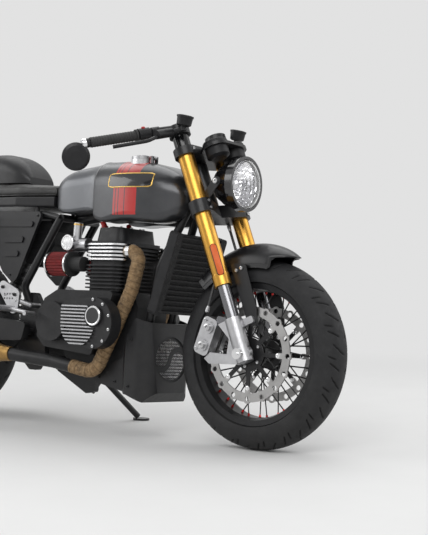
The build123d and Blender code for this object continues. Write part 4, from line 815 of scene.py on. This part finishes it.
spokes = {"count": 36, "rimReach": 198.4, "cross": 38}
nipples = nippleTree()
for name, axle, flange, flangeHalf, rimHalf, body in (("frontNipples", frontAxle, 41, 45, 6, "front_wheel"),
                                                      ("rearNipples", rearAxle, 50, 55, 8, "rear_wheel")):
    rows = []
    for index in range(spokes["count"]):
        hand = 1 if index % 2 else -1
        outer = math.radians(index * 360 / spokes["count"])
        inner = outer + math.radians(spokes["cross"] if index % 4 < 2 else -spokes["cross"])
        end = wheelSpot(axle, spokes["rimReach"], outer, hand * rimHalf)
        start = wheelSpot(axle, flange, inner, hand * flangeHalf)
        rows.append((end, start - end, 1.0))
    growPiece(name, markPoints(name, rows), nipples, {"Material": "redAnodised"}, body)
print("wheels trimmed")

# Heat wrap wound along the header pipes: a tape whose lap climbs once a turn
wrap = {"radius": 0.0229, "lap": 0.0018, "step": 0.0024, "around": 44,
        "route": ((219, -96, 618), (270, -96, 618), (246, -105, 490), (192, -112, 365), (118, -120, 206),
                  (22, -129.8, 221.7)), "bends": (38, 120, 120, 50)}


def tapeTree():
    tree, given, out = geometryTree("woundTape", [
        ("Tape radius", "Float", 0.023), ("Lap height", "Float", 0.0018), ("Pitch", "Float", 0.021),
        ("Step", "Float", 0.0024), ("Around", "Int", 44)])
    line = put(tree, "GeometryNodeMeshToCurve", {"Mesh": given["Geometry"]}).outputs[0]
    rounded = put(tree, "GeometryNodeFilletCurve", {"Curve": line, "Count": 16, "Radius": stored(tree, "bend"),
                                                    "Limit Radius": True}, mode="POLY").outputs[0]
    path = put(tree, "GeometryNodeResampleCurve", {"Curve": rounded, "Length": given["Step"]}, mode="LENGTH").outputs[0]
    path = put(tree, "GeometryNodeStoreNamedAttribute", {
        "Geometry": path, "Name": "run", "Value": put(tree, "GeometryNodeSplineParameter").outputs["Length"]},
        data_type="FLOAT").outputs[0]
    ring = put(tree, "GeometryNodeCurvePrimitiveCircle", {"Resolution": given["Around"],
                                                          "Radius": given["Tape radius"]})
    angle = math1(tree, "MULTIPLY", put(tree, "GeometryNodeSplineParameter").outputs["Factor"], 2 * math.pi)
    compass = put(tree, "ShaderNodeCombineXYZ", {"X": math1(tree, "COSINE", angle), "Y": math1(tree, "SINE", angle)})
    ring = put(tree, "GeometryNodeStoreNamedAttribute", {
        "Geometry": ring.outputs["Curve"], "Name": "turn", "Value": compass.outputs[0]},
        data_type="FLOAT_VECTOR").outputs[0]
    tube = put(tree, "GeometryNodeCurveToMesh", {"Curve": path, "Profile Curve": ring, "Fill Caps": True}).outputs[0]
    flat = splitVector(tree, stored(tree, "turn", "FLOAT_VECTOR"))
    share = math1(tree, "DIVIDE", math1(tree, "ARCTAN2", flat["Y"], flat["X"]), 2 * math.pi)
    lap = math1(tree, "FRACT", math1(tree, "ADD", math1(tree, "DIVIDE", stored(tree, "run"), given["Pitch"]), share))
    rise = math1(tree, "MULTIPLY", math1(tree, "SUBTRACT", 1.0, lap), given["Lap height"])
    lift = scaleVector(tree, put(tree, "GeometryNodeInputNormal").outputs[0], rise)
    wound = put(tree, "GeometryNodeSetPosition", {"Geometry": tube, "Offset": lift}).outputs[0]
    return closeTree(tree, wound, given["Material"], out)


wrapPaths = [[(x, y * hand, z) for x, y, z in wrap["route"]] for hand in (1, -1)]
growPiece("heatWrap", markPaths("heatWrap", wrapPaths, wrap["bends"]), tapeTree(), {
    "Tape radius": wrap["radius"], "Lap height": wrap["lap"], "Pitch": wrapLook["pitch"], "Step": wrap["step"],
    "Around": wrap["around"], "Material": "heatWrap"}, "chassis", sharp=60)
clamps = {"middle": (211.4, -96, 618), "rows": ((8, 23.6), (8, 25.6), (22, 25.6), (22, 23.6))}
lathePiece("wrapClamps", bothHands(clamps["middle"], forwards), clamps["rows"], "polishedAlloy", "chassis",
           closed=True)
collars = {"start": (-250, -168, 250), "way": (-378, -54, 12),
           "rows": ((-14, 22.9), (-13, 25.2), (0, 26.2), (26, 29.2), (60, 39.4), (68, 39.8), (68, 37.6), (60, 37.2),
                    (26, 26.6), (0, 23.6))}
lathePiece("silencerCollars", bothHands(collars["start"], collars["way"]), collars["rows"], "bronzeCollar", "chassis",
           count=48, closed=True)
print("headers wrapped")

# Seat pad
seatPad = {"sections": ((-138, 90, 850), (-200, 106, 853), (-300, 121, 859), (-420, 121, 862), (-526, 113, 863)),
           "base": 813.0, "inset": 6.0, "voxel": 0.005, "pressure": 4.0, "cap": 0.007, "frames": 20, "fill": 0.8,
           "stations": 36, "around": 44, "sideRound": 0.34, "topRound": 0.5, "footRound": 0.3, "heldHeight": 0.012}


def makeSeat():
    verts = []
    xs, halves, tops = zip(*seatPad["sections"][::-1])
    for x in np.linspace(xs[-1], xs[0], seatPad["stations"]):
        half = np.interp(x, xs, halves) - seatPad["inset"] / 2
        top = np.interp(x, xs, tops) - seatPad["inset"] / 2
        middle, rise = (top + seatPad["base"]) / 2, (top - seatPad["base"]) / 2
        for turn in ringTurns(seatPad["around"]):
            c, s = math.cos(turn), math.sin(turn)
            y = half * math.copysign(abs(c) ** seatPad["sideRound"], c)
            z = middle + rise * math.copysign(abs(s) ** seatPad["topRound" if s > 0 else "footRound"], s)
            verts.append(bike((x, y, z)))
    faces = gridFaces(seatPad["stations"], seatPad["around"]) + endCaps(len(verts), seatPad["around"])
    pad = addPiece("seatPad", verts, faces, "seatLeather", sharp=70, recalc=True)
    puffPad(pad)
    smooth = pad.modifiers.new("round", "SUBSURF")
    smooth.levels = smooth.render_levels = 1
    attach(pad, "chassis")
    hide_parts("seat")
    return pad


def bakeShape(piece):
    shape = piece.evaluated_get(bpy.context.evaluated_depsgraph_get())
    mesh = bpy.data.meshes.new_from_object(shape)
    piece.modifiers.clear()
    piece.data = mesh


def puffPad(pad):  # voxel skin blown up a little against its base, each point capped
    remesh = pad.modifiers.new("skin", "REMESH")
    remesh.mode = "VOXEL"
    remesh.voxel_size = seatPad["voxel"]
    bakeShape(pad)
    rest = np.array([tuple(vert.co) for vert in pad.data.vertices])
    low = rest[:, 2].min() + seatPad["heldHeight"]
    held = pad.vertex_groups.new(name="base")
    held.add([int(index) for index in np.where(rest[:, 2] < low)[0]], 1.0, "REPLACE")
    cloth = pad.modifiers.new("puff", "CLOTH")
    cloth.settings.use_pressure = True
    cloth.settings.uniform_pressure_force = seatPad["pressure"]
    cloth.settings.effector_weights.gravity = 0
    cloth.settings.vertex_group_mass = "base"
    for step in range(1, seatPad["frames"] + 1):
        scene.frame_set(step)
    bakeShape(pad)
    scene.frame_set(1)
    moved = np.array([tuple(vert.co) for vert in pad.data.vertices])
    travel = moved - rest
    length = np.linalg.norm(travel, axis=1, keepdims=True)
    moved = rest + travel * np.minimum(1.0, seatPad["cap"] / np.maximum(length, 1e-9))
    pad.data.vertices.foreach_set("co", moved.astype(np.float32).ravel())
    pad.data.update()
    pad.data.shade_smooth()


seatShape = makeSeat()
print("seat padded")


# Small bars lying on a surface: stitches and dial marks
def barTree():
    tree, given, out = geometryTree("smallBar", [
        ("Length", "Float", 0.005), ("Thickness", "Float", 0.0006), ("Sides", "Int", 6)])
    bar = put(tree, "GeometryNodeMeshCylinder", {"Vertices": given["Sides"], "Radius": given["Thickness"],
                                                 "Depth": given["Length"]}).outputs["Mesh"]
    laid = put(tree, "GeometryNodeTransform", {"Geometry": bar, "Rotation": (0, math.pi / 2, 0)}).outputs[0]
    return closeTree(tree, standOnPoints(tree, given["Geometry"], laid), given["Material"], out)


def wireTree():
    tree, given, out = geometryTree("thinWire", [("Wire radius", "Float", 0.0008), ("Sides", "Int", 6)])
    line = put(tree, "GeometryNodeMeshToCurve", {"Mesh": given["Geometry"]}).outputs[0]
    ring = put(tree, "GeometryNodeCurvePrimitiveCircle", {"Resolution": given["Sides"], "Radius": given["Wire radius"]})
    wire = put(tree, "GeometryNodeCurveToMesh", {"Curve": line, "Profile Curve": ring.outputs["Curve"],
                                                 "Fill Caps": True}).outputs[0]
    return closeTree(tree, wire, given["Material"], out)


bars, wires = barTree(), wireTree()
seams = {"topLines": (-62, 62), "topFrom": -152.0, "topTo": -292.0, "sideFrom": -146.0, "sideTo": -522.0,
         "sideHeight": 846.0, "pipingHeight": 819.0, "pipingOut": 1.2, "above": 960, "beside": 300, "stitch": 7.0,
         "length": 0.0046, "thread": 0.0007, "piping": 0.0026}
seatTree = uprightTree(seatShape.data)
stitchRows = []
for y in seams["topLines"]:
    for x in np.arange(seams["topFrom"], seams["topTo"], -seams["stitch"]):
        hit, normal = seatTree.ray_cast(Vector((x, y, seams["above"])), Vector((0, 0, -1)))[:2]
        stitchRows.append((hit, normal, 1.0, forwards))


def sideHit(tree, hand, x, z, beside):  # where a level ray from one side meets a surface
    return tree.ray_cast(Vector((x, hand * beside, z)), Vector((0, -hand, 0)))[:2]


pipingPaths = []
for hand in (-1, 1):
    path = []
    for x in np.arange(seams["sideFrom"], seams["sideTo"], -seams["stitch"]):
        hit, normal = sideHit(seatTree, hand, x, seams["sideHeight"], seams["beside"])
        if hit:
            stitchRows.append((hit, normal, 1.0, forwards))
        hit = sideHit(seatTree, hand, x, seams["pipingHeight"], seams["beside"])[0]
        if hit:
            path.append(hit + Vector((0, hand * seams["pipingOut"], 0)))
    pipingPaths.append(path)
growPiece("seatStitches", markPoints("seatStitches", stitchRows), bars, {
    "Length": seams["length"], "Thickness": seams["thread"], "Material": "threadGrey"}, "chassis")
growPiece("seatPiping", markPaths("seatPiping", pipingPaths), wires, {
    "Wire radius": seams["piping"], "Sides": 10, "Material": "seatLeather"}, "chassis")
print("seat sewn:", len(stitchRows), "stitches")

# Headlamp: domed glass over a bowl of facets with a shielded bulb
lamp = {"middle": Vector((505, 0, 845)), "glassFoot": 100.3, "glassRadius": 77.3, "glassWall": 3.0, "glassLip": 0.2,
        "sideShare": 0.6,
        "dome": ((0.2, 1.0), (12.8, 1.0), (15.4, 0.962), (18.6, 0.85), (21.8, 0.67), (24.6, 0.44), (26.4, 0.22),
                 (27.2, 0.0)),
        "bowl": ((99.6, 73.2), (86, 68.6), (70, 62.4), (54, 55.6), (42, 44), (32, 28)), "sectors": 26,
        "facetGap": 0.0003, "facetWall": 1.0, "facetRise": 3.2,
        "shield": ((1, 0), (1, 17.6), (10.4, 17.8), (14.8, 12.8), (15.6, 6), (15.8, 0)), "shieldFoot": 60}
outer = [(lamp["glassFoot"] + along, share * lamp["glassRadius"]) for along, share in lamp["dome"]]
inner = [(max(lamp["glassFoot"] + lamp["glassLip"], along - lamp["glassWall"]),
          max(0.0, radius - lamp["glassWall"] * lamp["sideShare"])) for along, radius in outer]
lampGlass = lathePiece("lampGlass", [(lamp["middle"], forwards)], outer + inner[:0:-1], "lampGlass", "steering",
                       count=64, closed=True)
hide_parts("headlamp_lens")


def makeReflector():
    verts, faces = [], []
    count = lamp["sectors"]

    def bowlSpot(along, radius, turn):
        return lamp["middle"] + Vector((along, radius * math.cos(turn), radius * math.sin(turn)))

    for ring in range(len(lamp["bowl"]) - 1):
        (outerAlong, outerRadius), (innerAlong, innerRadius) = lamp["bowl"][ring], lamp["bowl"][ring + 1]
        for sector in range(count):
            first = 2 * math.pi * (sector + 0.5 * (ring % 2)) / count
            last = first + 2 * math.pi / count - lamp["facetGap"]
            base = len(verts)
            middle = bowlSpot((outerAlong + innerAlong) / 2 + lamp["facetRise"], (outerRadius + innerRadius) / 2,
                              (first + last) / 2)
            corners = [bowlSpot(outerAlong, outerRadius, first), bowlSpot(outerAlong, outerRadius, last),
                       bowlSpot(innerAlong, innerRadius, last), bowlSpot(innerAlong, innerRadius, first)]
            backs = [spot - Vector((lamp["facetWall"], 0, 0)) for spot in corners]
            verts += [bike(spot) for spot in corners + [middle] + backs]
            for step in range(4):
                after = (step + 1) % 4
                faces.append((base + step, base + after, base + 4))
                faces.append((base + after, base + step, base + 5 + step, base + 5 + after))
            faces.append(tuple(range(base + 8, base + 4, -1)))
    mount(addPiece("lampReflector", verts, faces, "reflector", sharp=12), "steering")


makeReflector()
lathePiece("bulbShield", [(lamp["middle"] + Vector((lamp["shieldFoot"], 0, 0)), forwards)], lamp["shield"], "reflector",
           "steering")

# Bar ends, mirrors and switches hang from the clip-on bars
clipOn = {"root": forkSpot(-4.7, -137, 772.2), "reach": Vector((-147, -233, -70)),
          "mirrorDrop": Vector((-21, -32, -48)), "mirrorFace": Vector((0.78, -0.58, -0.22)).normalized(),
          "mirrorDepth": 8, "ribs": range(12, 156, 9), "housing": 187, "switchOut": 20, "switchAhead": 8,
          "switchBehind": 9, "switchUp": Vector((0.25, 0, 1))}
barTip = clipOn["root"] + clipOn["reach"]
barWay = clipOn["reach"].normalized()
mirrorSpot = barTip + clipOn["mirrorDrop"] - clipOn["mirrorFace"] * clipOn["mirrorDepth"]
lathePiece("mirrorGlass", bothHands(mirrorSpot, -clipOn["mirrorFace"]),
           [(0.2, 0), (0.2, 41.6), (0.9, 41), (1.5, 24), (1.8, 0)], "mirrorGlass", "steering", count=48)
lathePiece("barEnds", bothHands(barTip, barWay),
           [(10, 0), (10, 15.7), (20, 15.7), (24, 13.4), (25, 8), (23.4, 5), (23.4, 0)], "polishedAlloy",
           "steering")
gripRings = [(barTip - barWay * along, barWay) for along in clipOn["ribs"]]
gripRings += [(flipped(point), flipped(direction)) for point, direction in gripRings]
lathePiece("gripRibs", gripRings, [(0, 15.6), (1, 16.9), (4, 16.9), (5, 15.6)], "gripRubber", "steering",
           count=28, closed=True)
housing = barTip - barWay * clipOn["housing"]
upOut = (clipOn["switchUp"] - barWay * clipOn["switchUp"].dot(barWay)).normalized()
backOut = barWay.cross(upOut)
if backOut.x > 0:
    backOut = -backOut
topSwitch = housing + upOut * clipOn["switchOut"]
aheadSwitch = housing + backOut * clipOn["switchOut"] + barWay * clipOn["switchAhead"]
behindSwitch = housing + backOut * clipOn["switchOut"] - barWay * clipOn["switchBehind"]
lathePiece("redSwitches", [(topSwitch, upOut), (aheadSwitch, backOut)],
           [(0, 0), (0, 6.4), (4, 6.4), (5.6, 4.6), (6, 0)], "redRubber", "steering", count=20)
lathePiece("switchCaps", [*bothHands(behindSwitch, backOut), (flipped(aheadSwitch), flipped(backOut)),
                          (flipped(topSwitch), flipped(upOut))],
           [(0, 0), (0, 5.6), (3.4, 5.6), (4.4, 4.4), (4.6, 0)], "boltSteel", "steering", count=20)
print("lamp, mirrors and switches placed")

# Dials: plain faces, marks round the rim, a needle each
dial = {"spread": 47, "reach": 84, "level": 697.3, "radius": 36.6, "marks": 31, "markRadius": 30.5, "from": 225,
        "to": -45, "markLift": 0.7, "markSizes": (0.8, 1.5), "needleTurns": (205, 215), "needleReach": 10,
        "needleLift": 1.8, "markLength": 0.0042, "markThickness": 0.0005, "needleLength": 0.034,
        "needleThickness": 0.0008}
dialSpots = [forkSpot(dial["reach"], hand * dial["spread"], dial["level"]) for hand in (-1, 1)]
dialPlaces = [(spot, forkUp) for spot in dialSpots]
lathePiece("dialFaces", dialPlaces, [(0.1, 0), (0.1, dial["radius"]), (0.5, dial["radius"]), (0.5, 0)], "dialFace",
           "steering", count=48)


def dialRow(spot, degrees, reach, lift, size):
    turn = math.radians(degrees)
    out = across * -math.cos(turn) + forkForward * math.sin(turn)
    return spot + out * reach + forkUp * lift, forkUp, size, out


markRows, needleRows = [], []
for spot, needleTurn in zip(dialSpots, dial["needleTurns"]):
    for step in range(dial["marks"]):
        degrees = dial["from"] + (dial["to"] - dial["from"]) * step / (dial["marks"] - 1)
        size = dial["markSizes"][step % 5 == 0]
        markRows.append(dialRow(spot, degrees, dial["markRadius"], dial["markLift"], size))
    needleRows.append(dialRow(spot, needleTurn, dial["needleReach"], dial["needleLift"], 1.0))
growPiece("dialMarks", markPoints("dialMarks", markRows), bars, {
    "Length": dial["markLength"], "Thickness": dial["markThickness"], "Sides": 4, "Material": "dialMark"},
    "steering")
growPiece("dialNeedles", markPoints("dialNeedles", needleRows), bars, {
    "Length": dial["needleLength"], "Thickness": dial["needleThickness"], "Sides": 4, "Material": "redRubber"},
    "steering")
lathePiece("dialHubs", dialPlaces, [(0.5, 0), (0.5, 4.6), (2.6, 4.6), (3.2, 3.2), (3.3, 0)],
           "blackPlastic", "steering", count=20)
lathePiece("dialRings", dialPlaces,
           [(2.6, 36.8), (2.6, 39.6), (3.6, 40.4), (4.6, 39.6), (4.2, 36.8)], "boltBlack", "steering",
           count=56, closed=True)

# Amber reflectors let into black bezels on the outer front of both fork tubes
sideMark = {"low": 256, "high": 360, "half": 9.5, "bezel": 2.4, "turn": 51.0, "foot": 25.5, "bezelTop": 29.2,
            "top": 31.0, "left": 105, "bevel": 0.8, "bevelShare": 0.93, "points": 32}


def forkPlates(name, grow, top, finish):
    verts, faces = [], []
    turn, points = math.radians(sideMark["turn"]), sideMark["points"]
    half, middle = sideMark["half"] + grow, (sideMark["low"] + sideMark["high"]) / 2
    straight = (sideMark["high"] - sideMark["low"]) / 2 - sideMark["half"]
    rim = [(half * math.cos(angle), half * math.sin(angle) + math.copysign(straight, math.sin(angle)))
           for angle in ringTurns(points, 0.5)]
    for hand in (-1, 1):
        out = forkForward * math.cos(turn) + across * hand * math.sin(turn)
        broad = forkForward * math.sin(turn) - across * hand * math.cos(turn)
        base = len(verts)
        for level, share in ((sideMark["foot"], 1.0), (top - sideMark["bevel"], 1.0), (top, sideMark["bevelShare"])):
            for wide, tall in rim:
                spot = forkSpot(0, hand * sideMark["left"], middle + tall * (share + 1) / 2)
                verts.append(bike(spot + broad * wide * share + out * level))
        faces += gridFaces(3, points, start=base)
        faces.append(tuple(range(base + 2 * points, base + 3 * points)))
        faces.append(tuple(range(base, base + points))[::-1])
    mount(addPiece(name, verts, faces, finish, sharp=30, recalc=True), "steering")


forkPlates("sideMarkBezels", sideMark["bezel"], sideMark["bezelTop"], "blackPlastic")
forkPlates("sideMarks", 0.0, sideMark["top"], "amberReflector")
print("dials and side marks placed")

# Blank plaques on the tank's sides, laid on its surface
plaque = {"middle": (238, 853), "half": (88, 25), "corner": 9.0, "lift": 2.4, "foot": 0.2, "rim": 3.2,
          "beside": 320, "points": 88, "cornerShare": 0.6, "lap": 0.4, "sink": 0.9, "edge": 0.5, "bevel": 0.7}
tankTree = uprightTree(frame["nodes"]["fuel_tank"].data)


def plaqueSpot(hand, x, z, lift):
    return sideHit(tankTree, hand, x, z, plaque["beside"])[0] + Vector((0, hand * lift, 0))


def plaqueOutline(inset):
    halfX, halfZ = plaque["half"][0] - inset, plaque["half"][1] - inset
    corner = plaque["corner"] - inset * plaque["cornerShare"]
    outline = []
    for turn in ringTurns(plaque["points"], 0.5):
        c, s = math.cos(turn), math.sin(turn)
        reach = 1 / max(abs(c) / halfX, abs(s) / halfZ)
        x, z = reach * c, reach * s
        overX, overZ = max(0, abs(x) - halfX + corner), max(0, abs(z) - halfZ + corner)
        if overX and overZ:
            shrink = corner / max(corner, math.hypot(overX, overZ))
            x = math.copysign(halfX - corner + overX * shrink, x)
            z = math.copysign(halfZ - corner + overZ * shrink, z)
        outline.append((x, z))
    return outline


def makePlaque(name, rings, finish, closed):  # rings of (inset, share of the outline, lift)
    verts, faces = [], []
    for hand in (-1, 1):
        base = len(verts)
        for inset, share, lift in rings:
            for x, z in plaqueOutline(inset):
                spot = plaqueSpot(hand, plaque["middle"][0] + x * share, plaque["middle"][1] + z * share, lift)
                verts.append(bike(spot))
        faces += gridFaces(len(rings), plaque["points"], closed, base)
    mount(addPiece(name, verts, faces, finish, sharp=40, recalc=True), "chassis")


rim, lift, foot, bevel = plaque["rim"], plaque["lift"], plaque["foot"], plaque["bevel"]
inside, edge = rim - plaque["lap"], lift - plaque["edge"]
makePlaque("tankPlaques", [(inside, share, foot) for share in (0.0, 0.6, 1.0)]
           + [(inside, share, lift - plaque["sink"]) for share in (1.0, 0.8, 0.55, 0.3, 0.0)], "plaqueBlack",
           False)
makePlaque("plaqueRims", [(0, 1.0, foot), (0, 1.0, edge), (bevel, 1.0, lift), (rim - bevel, 1.0, lift),
                          (rim, 1.0, edge), (rim, 1.0, foot)], "plaqueGold", True)

# Plain round cap on the clutch boss, brass rings on the throttle tops, clamp bands on the filters
lathePiece("clutchCap", [((163, -200.1, 396), right)], [(0, 0), (0, 26.6), (1.6, 26.6), (2.2, 25.8), (2.4, 0)],
           "plaqueBlack", "chassis", count=48)
lathePiece("clutchRing", [((163, -199.8, 396), right)],
           [(0, 27), (0, 32.6), (1.8, 32.6), (3, 31.2), (3, 28), (2.4, 27)], "polishedAlloy", "chassis",
           count=56, closed=True)
lathePiece("throttleRings", bothHands((-14, -100, 716), (4, 0, 76)), [(-9, 14.8), (-9, 16.6), (-3, 16.6), (-3, 14.8)],
           "brassRing", "chassis", closed=True)
lathePiece("throttleCovers", bothHands((-33, -129.9, 645), right),
           [(0, 0), (0, 27.6), (2.4, 27.6), (3.6, 26), (3.6, 21), (2.4, 20), (2.4, 0)], "polishedAlloy", "chassis",
           count=44)
filterBands = bothHands((-30, -110, 572), forwards) + bothHands((-118.4, -110, 572), forwards)
lathePiece("filterBands", filterBands, [(0, 42.6), (0, 43.9), (5.6, 43.9), (5.6, 42.6)], "polishedAlloy",
           "chassis", count=48, closed=True)
hoseLow, hoseBend = forkSpot(-92, -100, 172), forkSpot(-36, -86, 260)
hoseEnds = bothHands(hoseLow, hoseLow - hoseBend) + bothHands(forkSpot(-36, -86, 473), forkUp)
lathePiece("hoseEnds", hoseEnds, [(-22, 4.4), (-22, 5.6), (-12, 5.8), (-12, 7), (-3, 7), (-2, 5.6), (-0.6, 4.4)],
           "boltSteel", "steering", count=12, closed=True)

# Fine wire mesh behind the belly pan's oval, in the depth of the grille's slats
grille = {"foot": Vector((352, 0, 152)), "head": Vector((332, 0, 460)), "share": 0.36, "half": (79, 71), "depth": 5.3,
          "pitch": 5.4, "slants": (33.0, -33.0), "wire": 0.0007, "lines": 20, "leastCut": 0.00001}
climb = grille["head"] - grille["foot"]
faceOut = Vector((climb.z, 0, -climb.x)).normalized()
faceUp = climb.normalized()
faceMiddle = grille["foot"] + climb * grille["share"] - faceOut * grille["depth"]
meshPaths = []
for slant in grille["slants"]:
    along = Vector((math.cos(math.radians(slant)), math.sin(math.radians(slant))))
    over = Vector((-along.y, along.x))
    for step in range(-grille["lines"], grille["lines"] + 1):
        start = over * step * grille["pitch"]
        a = (along.x / grille["half"][0]) ** 2 + (along.y / grille["half"][1]) ** 2
        b = start.x * along.x / grille["half"][0] ** 2 + start.y * along.y / grille["half"][1] ** 2
        c = (start.x / grille["half"][0]) ** 2 + (start.y / grille["half"][1]) ** 2 - 1
        if b * b - a * c <= grille["leastCut"]:
            continue
        root = math.sqrt(b * b - a * c)
        ends = [start + along * ((-b + sign * root) / a) for sign in (-1, 1)]
        meshPaths.append([faceMiddle + across * end.x + faceUp * end.y for end in ends])
growPiece("grilleMesh", markPaths("grilleMesh", meshPaths), wires, {
    "Wire radius": grille["wire"], "Sides": 5, "Material": "boltSteel"}, "chassis")

# Fender crown: a pressed shell from the nose to behind the fork, with a raised middle and short sides.
# The CAD fender is open below it, between about 75 and 125 degrees round the wheel
crown = {"radius": 333.0, "sag": 24.0, "half": 66.4, "from": 69.5, "to": 133.6, "rise": 20.0, "wall": 3.4,
         "sides": 24.0, "arcHalf": 66, "edge": 0.1, "edgeWall": 0.5,
         "nose": ((735, 79.5), (800, 45.5), (828, 13.5)), "rows": 64, "columns": 29, "flare": 2.8,
         "sidesFrom": 52, "sidesOver": 14, "leastSide": 0.6, "gap": 0.4, "peak": 0.8, "fullness": 0.9, "round": 0.8}


def makeCrown():
    verts = []
    arc = (crown["arcHalf"] ** 2 + crown["sag"] ** 2) / (2 * crown["sag"])
    noseX, noseHalf = zip(*crown["nose"])
    shares = np.linspace(-1, 1, crown["columns"])
    for step in np.linspace(0, 1, crown["rows"]):
        turn = math.radians(crown["from"] + (crown["to"] - crown["from"]) * step)
        x = frontAxle.x + crown["radius"] * math.cos(turn)
        half = min(crown["half"], np.interp(x, noseX, noseHalf))
        sides = crown["sides"] * min(1.0, max(0.0, (half - crown["sidesFrom"]) / crown["sidesOver"]))
        sides += crown["leastSide"]
        lift = crown["rise"] * math.sin(math.pi * step ** crown["peak"]) ** crown["fullness"]
        outer = []
        for share in shares:
            y = half * share
            fall = crown["radius"] - arc + math.sqrt(arc ** 2 - y * y)
            outer.append((y, fall + crown["gap"] + lift * (1 - share * share) ** crown["round"]))
        foot = half + crown["flare"] * sides / crown["sides"]
        ring = [(-foot, outer[0][1] - sides)] + outer + [(foot, outer[-1][1] - sides)]
        for y, reach in outer[::-1]:
            thick = crown["wall"] if abs(y) < half - crown["edge"] else crown["wall"] * crown["edgeWall"]
            ring.append((y * (1 - crown["wall"] / crown["arcHalf"]), reach - thick))
        ring.insert(len(outer) + 2, (foot - crown["wall"], outer[-1][1] - sides))
        ring.append((-foot + crown["wall"], outer[0][1] - sides))
        verts += [bike(wheelSpot(frontAxle, reach, turn, y)) for y, reach in ring]
    count = len(verts) // crown["rows"]
    faces = gridFaces(crown["rows"], count) + endCaps(len(verts), count)
    mount(addPiece("fenderCrown", verts, faces, "fenderBlack", sharp=40, recalc=True), "steering")


makeCrown()
print("trim placed")

# Stage
stage = {"floor": 60.0, "floorLevel": -0.0004, "floorColour": (0.74, 0.74, 0.735),
         "backColour": (0.76, 0.76, 0.76), "skyColour": (0.88, 0.89, 0.9), "skyStrength": 0.42, "fadeFrom": 1.5,
         "fadeTo": 3.4, "lampShape": 0.6,
         "lamps": (("keyLamp", (2.6, -3.4, 3.6), (0.1, 0.0, 0.5), 3.8, 115.0),
                   ("fillLamp", (4.0, 2.6, 2.6), (0.3, 0.0, 0.6), 4.2, 62.0),
                   ("backLamp", (-3.2, -2.4, 2.4), (0.0, 0.0, 0.6), 3.6, 62.0),
                   ("topLamp", (-0.4, 1.2, 4.0), (0.0, 0.0, 0.4), 5.0, 84.0))}


def seenRays(tree):  # rays that show the backdrop: camera, glossy and through glass
    path = put(tree, "ShaderNodeLightPath").outputs
    seen = math1(tree, "MAXIMUM", path["Is Camera Ray"], path["Is Glossy Ray"])
    return math1(tree, "MAXIMUM", seen, path["Is Transmission Ray"])


floorMesh = bpy.data.meshes.new("floor")
edge = stage["floor"] / 2
floorMesh.from_pydata([(x * edge, y * edge, stage["floorLevel"]) for x, y in ((-1, -1), (1, -1), (1, 1), (-1, 1))], [],
                      [(0, 1, 2, 3)])
floorPaint, floorNodes, floorShader = makeFinish("floorPaint", tones(
    stage["floorColour"], [c * 0.97 for c in stage["floorColour"]], (0.6, 0.75), patches=1.5))[:3]
farness = vector1(floorNodes, "LENGTH", put(floorNodes, "ShaderNodeTexCoord").outputs["Object"])
fade = ramp(floorNodes, farness, stage["fadeFrom"], stage["fadeTo"], interpolation_type="SMOOTHSTEP")
glow = put(floorNodes, "ShaderNodeEmission", {"Color": (*stage["backColour"], 1), "Strength": 1.0}).outputs[0]
blend = put(floorNodes, "ShaderNodeMixShader", {0: math1(floorNodes, "MULTIPLY", fade, seenRays(floorNodes)),
                                                1: floorShader.outputs[0], 2: glow})
floorNodes.links.new(blend.outputs[0], floorNodes.nodes["Material Output"].inputs["Surface"])
floorMesh.materials.append(floorPaint)
floor = bpy.data.objects.new("floor", floorMesh)
scene.collection.objects.link(floor)
world = bpy.data.worlds.new("studio")
world.use_nodes = True
sky = world.node_tree
lightSky = sky.nodes["Background"]
lightSky.inputs[0].default_value = (*stage["skyColour"], 1)
lightSky.inputs[1].default_value = stage["skyStrength"]
seenSky = put(sky, "ShaderNodeBackground", {"Color": (*stage["backColour"], 1), "Strength": 1.0}).outputs[0]
skyBlend = put(sky, "ShaderNodeMixShader", {0: seenRays(sky), 1: lightSky.outputs[0], 2: seenSky}).outputs[0]
sky.links.new(skyBlend, sky.nodes["World Output"].inputs["Surface"])
scene.world = world
for name, place, target, size, power in stage["lamps"]:
    light = bpy.data.lights.new(name, "AREA")
    light.shape = "RECTANGLE"
    light.size, light.size_y = size, size * stage["lampShape"]
    light.energy = power
    lampObject = bpy.data.objects.new(name, light)
    lampObject.location = place
    lampObject.rotation_euler = (Vector(target) - Vector(place)).to_track_quat("-Z", "Y").to_euler()
    scene.collection.objects.link(lampObject)
view = {"place": (2809.0, -3136.0, 645.0), "yaw": 125.9, "pitch": -1.07, "lens": 80.75}
yaw, pitch = math.radians(view["yaw"]), math.radians(view["pitch"])
looking = Vector((math.cos(pitch) * math.cos(yaw), math.cos(pitch) * math.sin(yaw), math.sin(pitch)))
lens = bpy.data.cameras.new("camera")
lens.lens = view["lens"]
camera = bpy.data.objects.new("camera", lens)
camera.location = Vector(view["place"]) / 1000 + shift
camera.rotation_euler = looking.to_track_quat("-Z", "Y").to_euler()
scene.collection.objects.link(camera)
scene.camera = camera
scene.view_settings.view_transform = "Standard"
print("stage lit")
